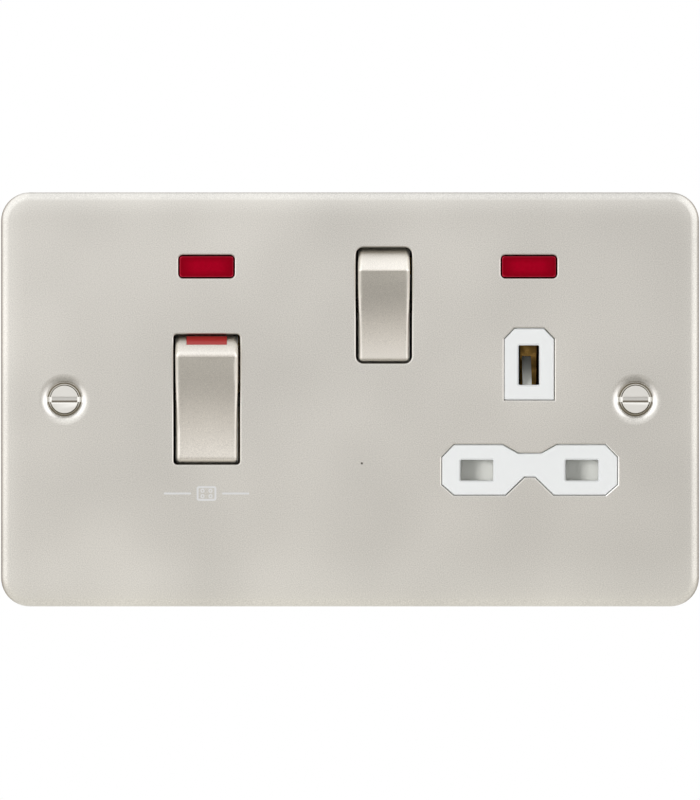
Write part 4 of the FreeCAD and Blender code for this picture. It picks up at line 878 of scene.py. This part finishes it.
def reflector(name, place, width, depth, strength):
    """Card that only reflections show, white or dark by its strength."""
    bpy.ops.mesh.primitive_plane_add(size=1.0, location=place)
    card = bpy.context.object
    card.scale = (width, depth, 1)
    settle(card, name)
    paper, _, surface = started(name + "_paper")
    wire(surface, {
        "Base Color": rgba(BLACK),
        "Specular IOR Level": 0.0,
        "Emission Color": rgba((1.0, 0.99, 0.96)),
        "Emission Strength": strength,
    })
    card.data.materials.append(paper)
    card.visible_camera = False
    card.visible_diffuse = False
    card.visible_transmission = False
    card.visible_shadow = False


def pale_floor(name, colour, lift):
    """Matt floor paint that the camera and shiny surfaces see lifted towards white, shadows kept."""
    material, tree, surface = started(name)
    path = add(tree, "LightPath")
    direct = add(tree, "Math", (path["Is Camera Ray"], path["Is Glossy Ray"]), operation="MAXIMUM")[0]
    seen = add(tree, "Math", (direct, path["Is Transmission Ray"]), operation="MAXIMUM")[0]
    wire(surface, {
        "Base Color": rgba(colour),
        "Roughness": 0.6,
        "Emission Color": rgba(WHITE),
        "Emission Strength": add(tree, "Math", (seen, lift), operation="MULTIPLY")[0],
    })
    return material


def surroundings(ambient, reflected):
    """World: white to the camera, plain light on matt surfaces, a shaded room in reflections."""
    world = bpy.data.worlds.new("studio")
    world.use_nodes = True
    tree = world.node_tree
    tree.nodes.clear()

    # The room's brightness goes with height, with the side, and with the depth behind the unit.
    product = {"data_type": "RGBA", "blend_type": "MULTIPLY"}
    towards = add(tree, "SeparateXYZ", (add(tree, "TexCoord")["Generated"],))
    up = add(tree, "MapRange", (towards["Z"], -1.0, 1.0, 0.0, 1.0))[0]
    height = add(tree, "ValToRGB", (up,), [
        (0.0, (0.4, 0.38, 0.35)),
        (0.28, (0.55, 0.52, 0.48)),
        (0.35, (0.99, 0.95, 0.91)),
        (0.41, (1.04, 1.02, 1.0)),
        (0.5, (1.02, 1.02, 1.03)),
        (0.6, (1.56, 1.56, 1.58)),
        (0.8, (1.72, 1.74, 1.78)),
        (0.9, (1.72, 1.76, 1.82)),
        (1.0, (1.82, 1.86, 1.94)),
    ])[0]
    across = add(tree, "MapRange", (towards["X"], -1.0, 1.0, 0.0, 1.0))[0]
    sides = add(tree, "ValToRGB", (across,), [
        (0.0, (1.68, 1.68, 1.68)),
        (0.08, (1.56, 1.56, 1.56)),
        (0.22, (1.28, 1.28, 1.28)),
        (0.36, (1.06, 1.06, 1.06)),
        (0.475, (1.02, 1.02, 1.02)),
        (0.525, (0.6, 0.59, 0.58)),
        (0.62, (0.66, 0.65, 0.64)),
        (0.7, (1.18, 1.18, 1.18)),
        (0.86, (1.48, 1.48, 1.48)),
        (1.0, (1.66, 1.66, 1.66)),
    ])[0]
    back = add(tree, "Math", (towards["Z"], -0.6, towards["Y"]), operation="MULTIPLY_ADD")[0]
    behind = add(tree, "MapRange", (back, -1.0, 1.0, 0.0, 1.0))[0]
    depth = add(tree, "ValToRGB", (behind,), [
        (0.53, (1.0, 1.0, 1.0)),
        (0.76, (0.5, 0.48, 0.46)),
        (0.88, (0.6, 0.59, 0.58)),
        (0.98, (1.0, 1.0, 1.0)),
    ])[0]
    walls = add(tree, "Mix", {"Factor": 1.0, "A": height, "B": sides}, **product)["Result"]
    room = add(tree, "Mix", {"Factor": 1.0, "A": walls, "B": depth}, **product)["Result"]
    ceiling = (1.82, 1.84, 1.88, 1.0)
    evened = add(tree, "Mix", {"Factor": 1.0, "A": room, "B": ceiling},
                 data_type="RGBA", blend_type="DARKEN")["Result"]

    # Which of the three is seen depends on the ray alone.
    mirror = add(tree, "Background", {"Color": evened, "Strength": reflected})[0]
    plain = add(tree, "Background", {"Color": (1.0, 0.995, 0.985, 1.0), "Strength": ambient})[0]
    white = add(tree, "Background", {"Color": rgba(WHITE), "Strength": 1.0})[0]
    path = add(tree, "LightPath")
    lit = add(tree, "MixShader", (path["Is Glossy Ray"], plain, mirror))[0]
    rays = (path["Is Camera Ray"], path["Is Transmission Ray"])
    seen = add(tree, "Math", rays, operation="MAXIMUM")[0]
    add(tree, "OutputWorld", {"Surface": add(tree, "MixShader", (seen, lit, white))[0]})
    return world


class UNIT_OT_stage(bpy.types.Operator):
    """Set up the pale studio, its lamps and the straight-on camera"""

    bl_idname = "cooker_unit.stage"
    bl_label = "Studio"

    def execute(self, context):
        s = context.scene.cooker_stage
        context.scene.world = surroundings(s.ambient, s.reflected)
        bpy.ops.mesh.primitive_plane_add(size=3.0, location=(0, 0, -s.floor_drop))
        floor = context.object
        settle(floor, "studio_floor")
        floor.data.materials.append(pale_floor("pale_floor_paint", s.floor, s.floor_lift))
        lamp("key_lamp", (-0.69, -1.1, 0.08), 0.34, s.key_power, WHITE)
        lamp("fill_lamp", (0.9, -1.0, 0.1), 0.6, s.fill_power, (1.0, 0.98, 0.95))
        lamp("back_lamp", (0.6, 1.2, 0.5), 0.8, s.back_power, WHITE)
        reflector("under_card", (0, -20 * MM, -50 * MM), 210 * MM, 80 * MM, s.under_card)
        reflector("dark_card", (0, -0.61, -0.45), 1.6, 0.98, s.dark_card)
        film = 36.0
        data = bpy.data.cameras.new("front_camera")
        camera = bpy.data.objects.new("front_camera", data)
        context.collection.objects.link(camera)
        camera.location = (0, FACE_Y - s.camera_distance, s.rise)
        camera.rotation_euler = (math.pi / 2, 0, 0)
        data.sensor_fit = "VERTICAL"
        data.sensor_width = film
        data.sensor_height = film
        data.lens = film * s.camera_distance / s.frame_height
        data.clip_end = 20.0
        context.scene.camera = camera
        context.scene.view_settings.view_transform = "Standard"
        return {"FINISHED"}


# Panel and registration


class UNIT_PT_panel(bpy.types.Panel):
    """Settings and buttons of the cooker control unit"""

    bl_idname = "UNIT_PT_panel"
    bl_label = "Cooker unit"
    bl_space_type = "VIEW_3D"
    bl_region_type = "UI"
    bl_category = "Cooker Unit"

    def draw(self, context):
        for operator, settings in STEPS:
            box = self.layout.box()
            group = getattr(context.scene, settings)
            for name in group.__annotations__:
                box.prop(group, name)
            box.operator(operator.bl_idname)


STEPS = (
    (UNIT_OT_finishes, "cooker_finishes"),
    (UNIT_OT_fixing_screws, "cooker_screws"),
    (UNIT_OT_printed_mark, "cooker_mark"),
    (UNIT_OT_stage, "cooker_stage"),
)
GROUPS = {
    "cooker_finishes": FinishSettings,
    "cooker_screws": ScrewSettings,
    "cooker_mark": MarkSettings,
    "cooker_stage": StageSettings,
}
CLASSES = list(GROUPS.values()) + [step[0] for step in STEPS] + [UNIT_PT_panel]


def register():
    for cls in CLASSES:
        bpy.utils.register_class(cls)
    for name, group in GROUPS.items():
        setattr(bpy.types.Scene, name, bpy.props.PointerProperty(type=group))


def unregister():
    for name in GROUPS:
        delattr(bpy.types.Scene, name)
    for cls in reversed(CLASSES):
        bpy.utils.unregister_class(cls)


def main():
    register()
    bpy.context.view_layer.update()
    bpy.ops.cooker_unit.finishes()
    bpy.ops.cooker_unit.fixing_screws()
    bpy.ops.cooker_unit.printed_mark()
    bpy.ops.cooker_unit.stage()


if __name__ == "__main__":
    main()
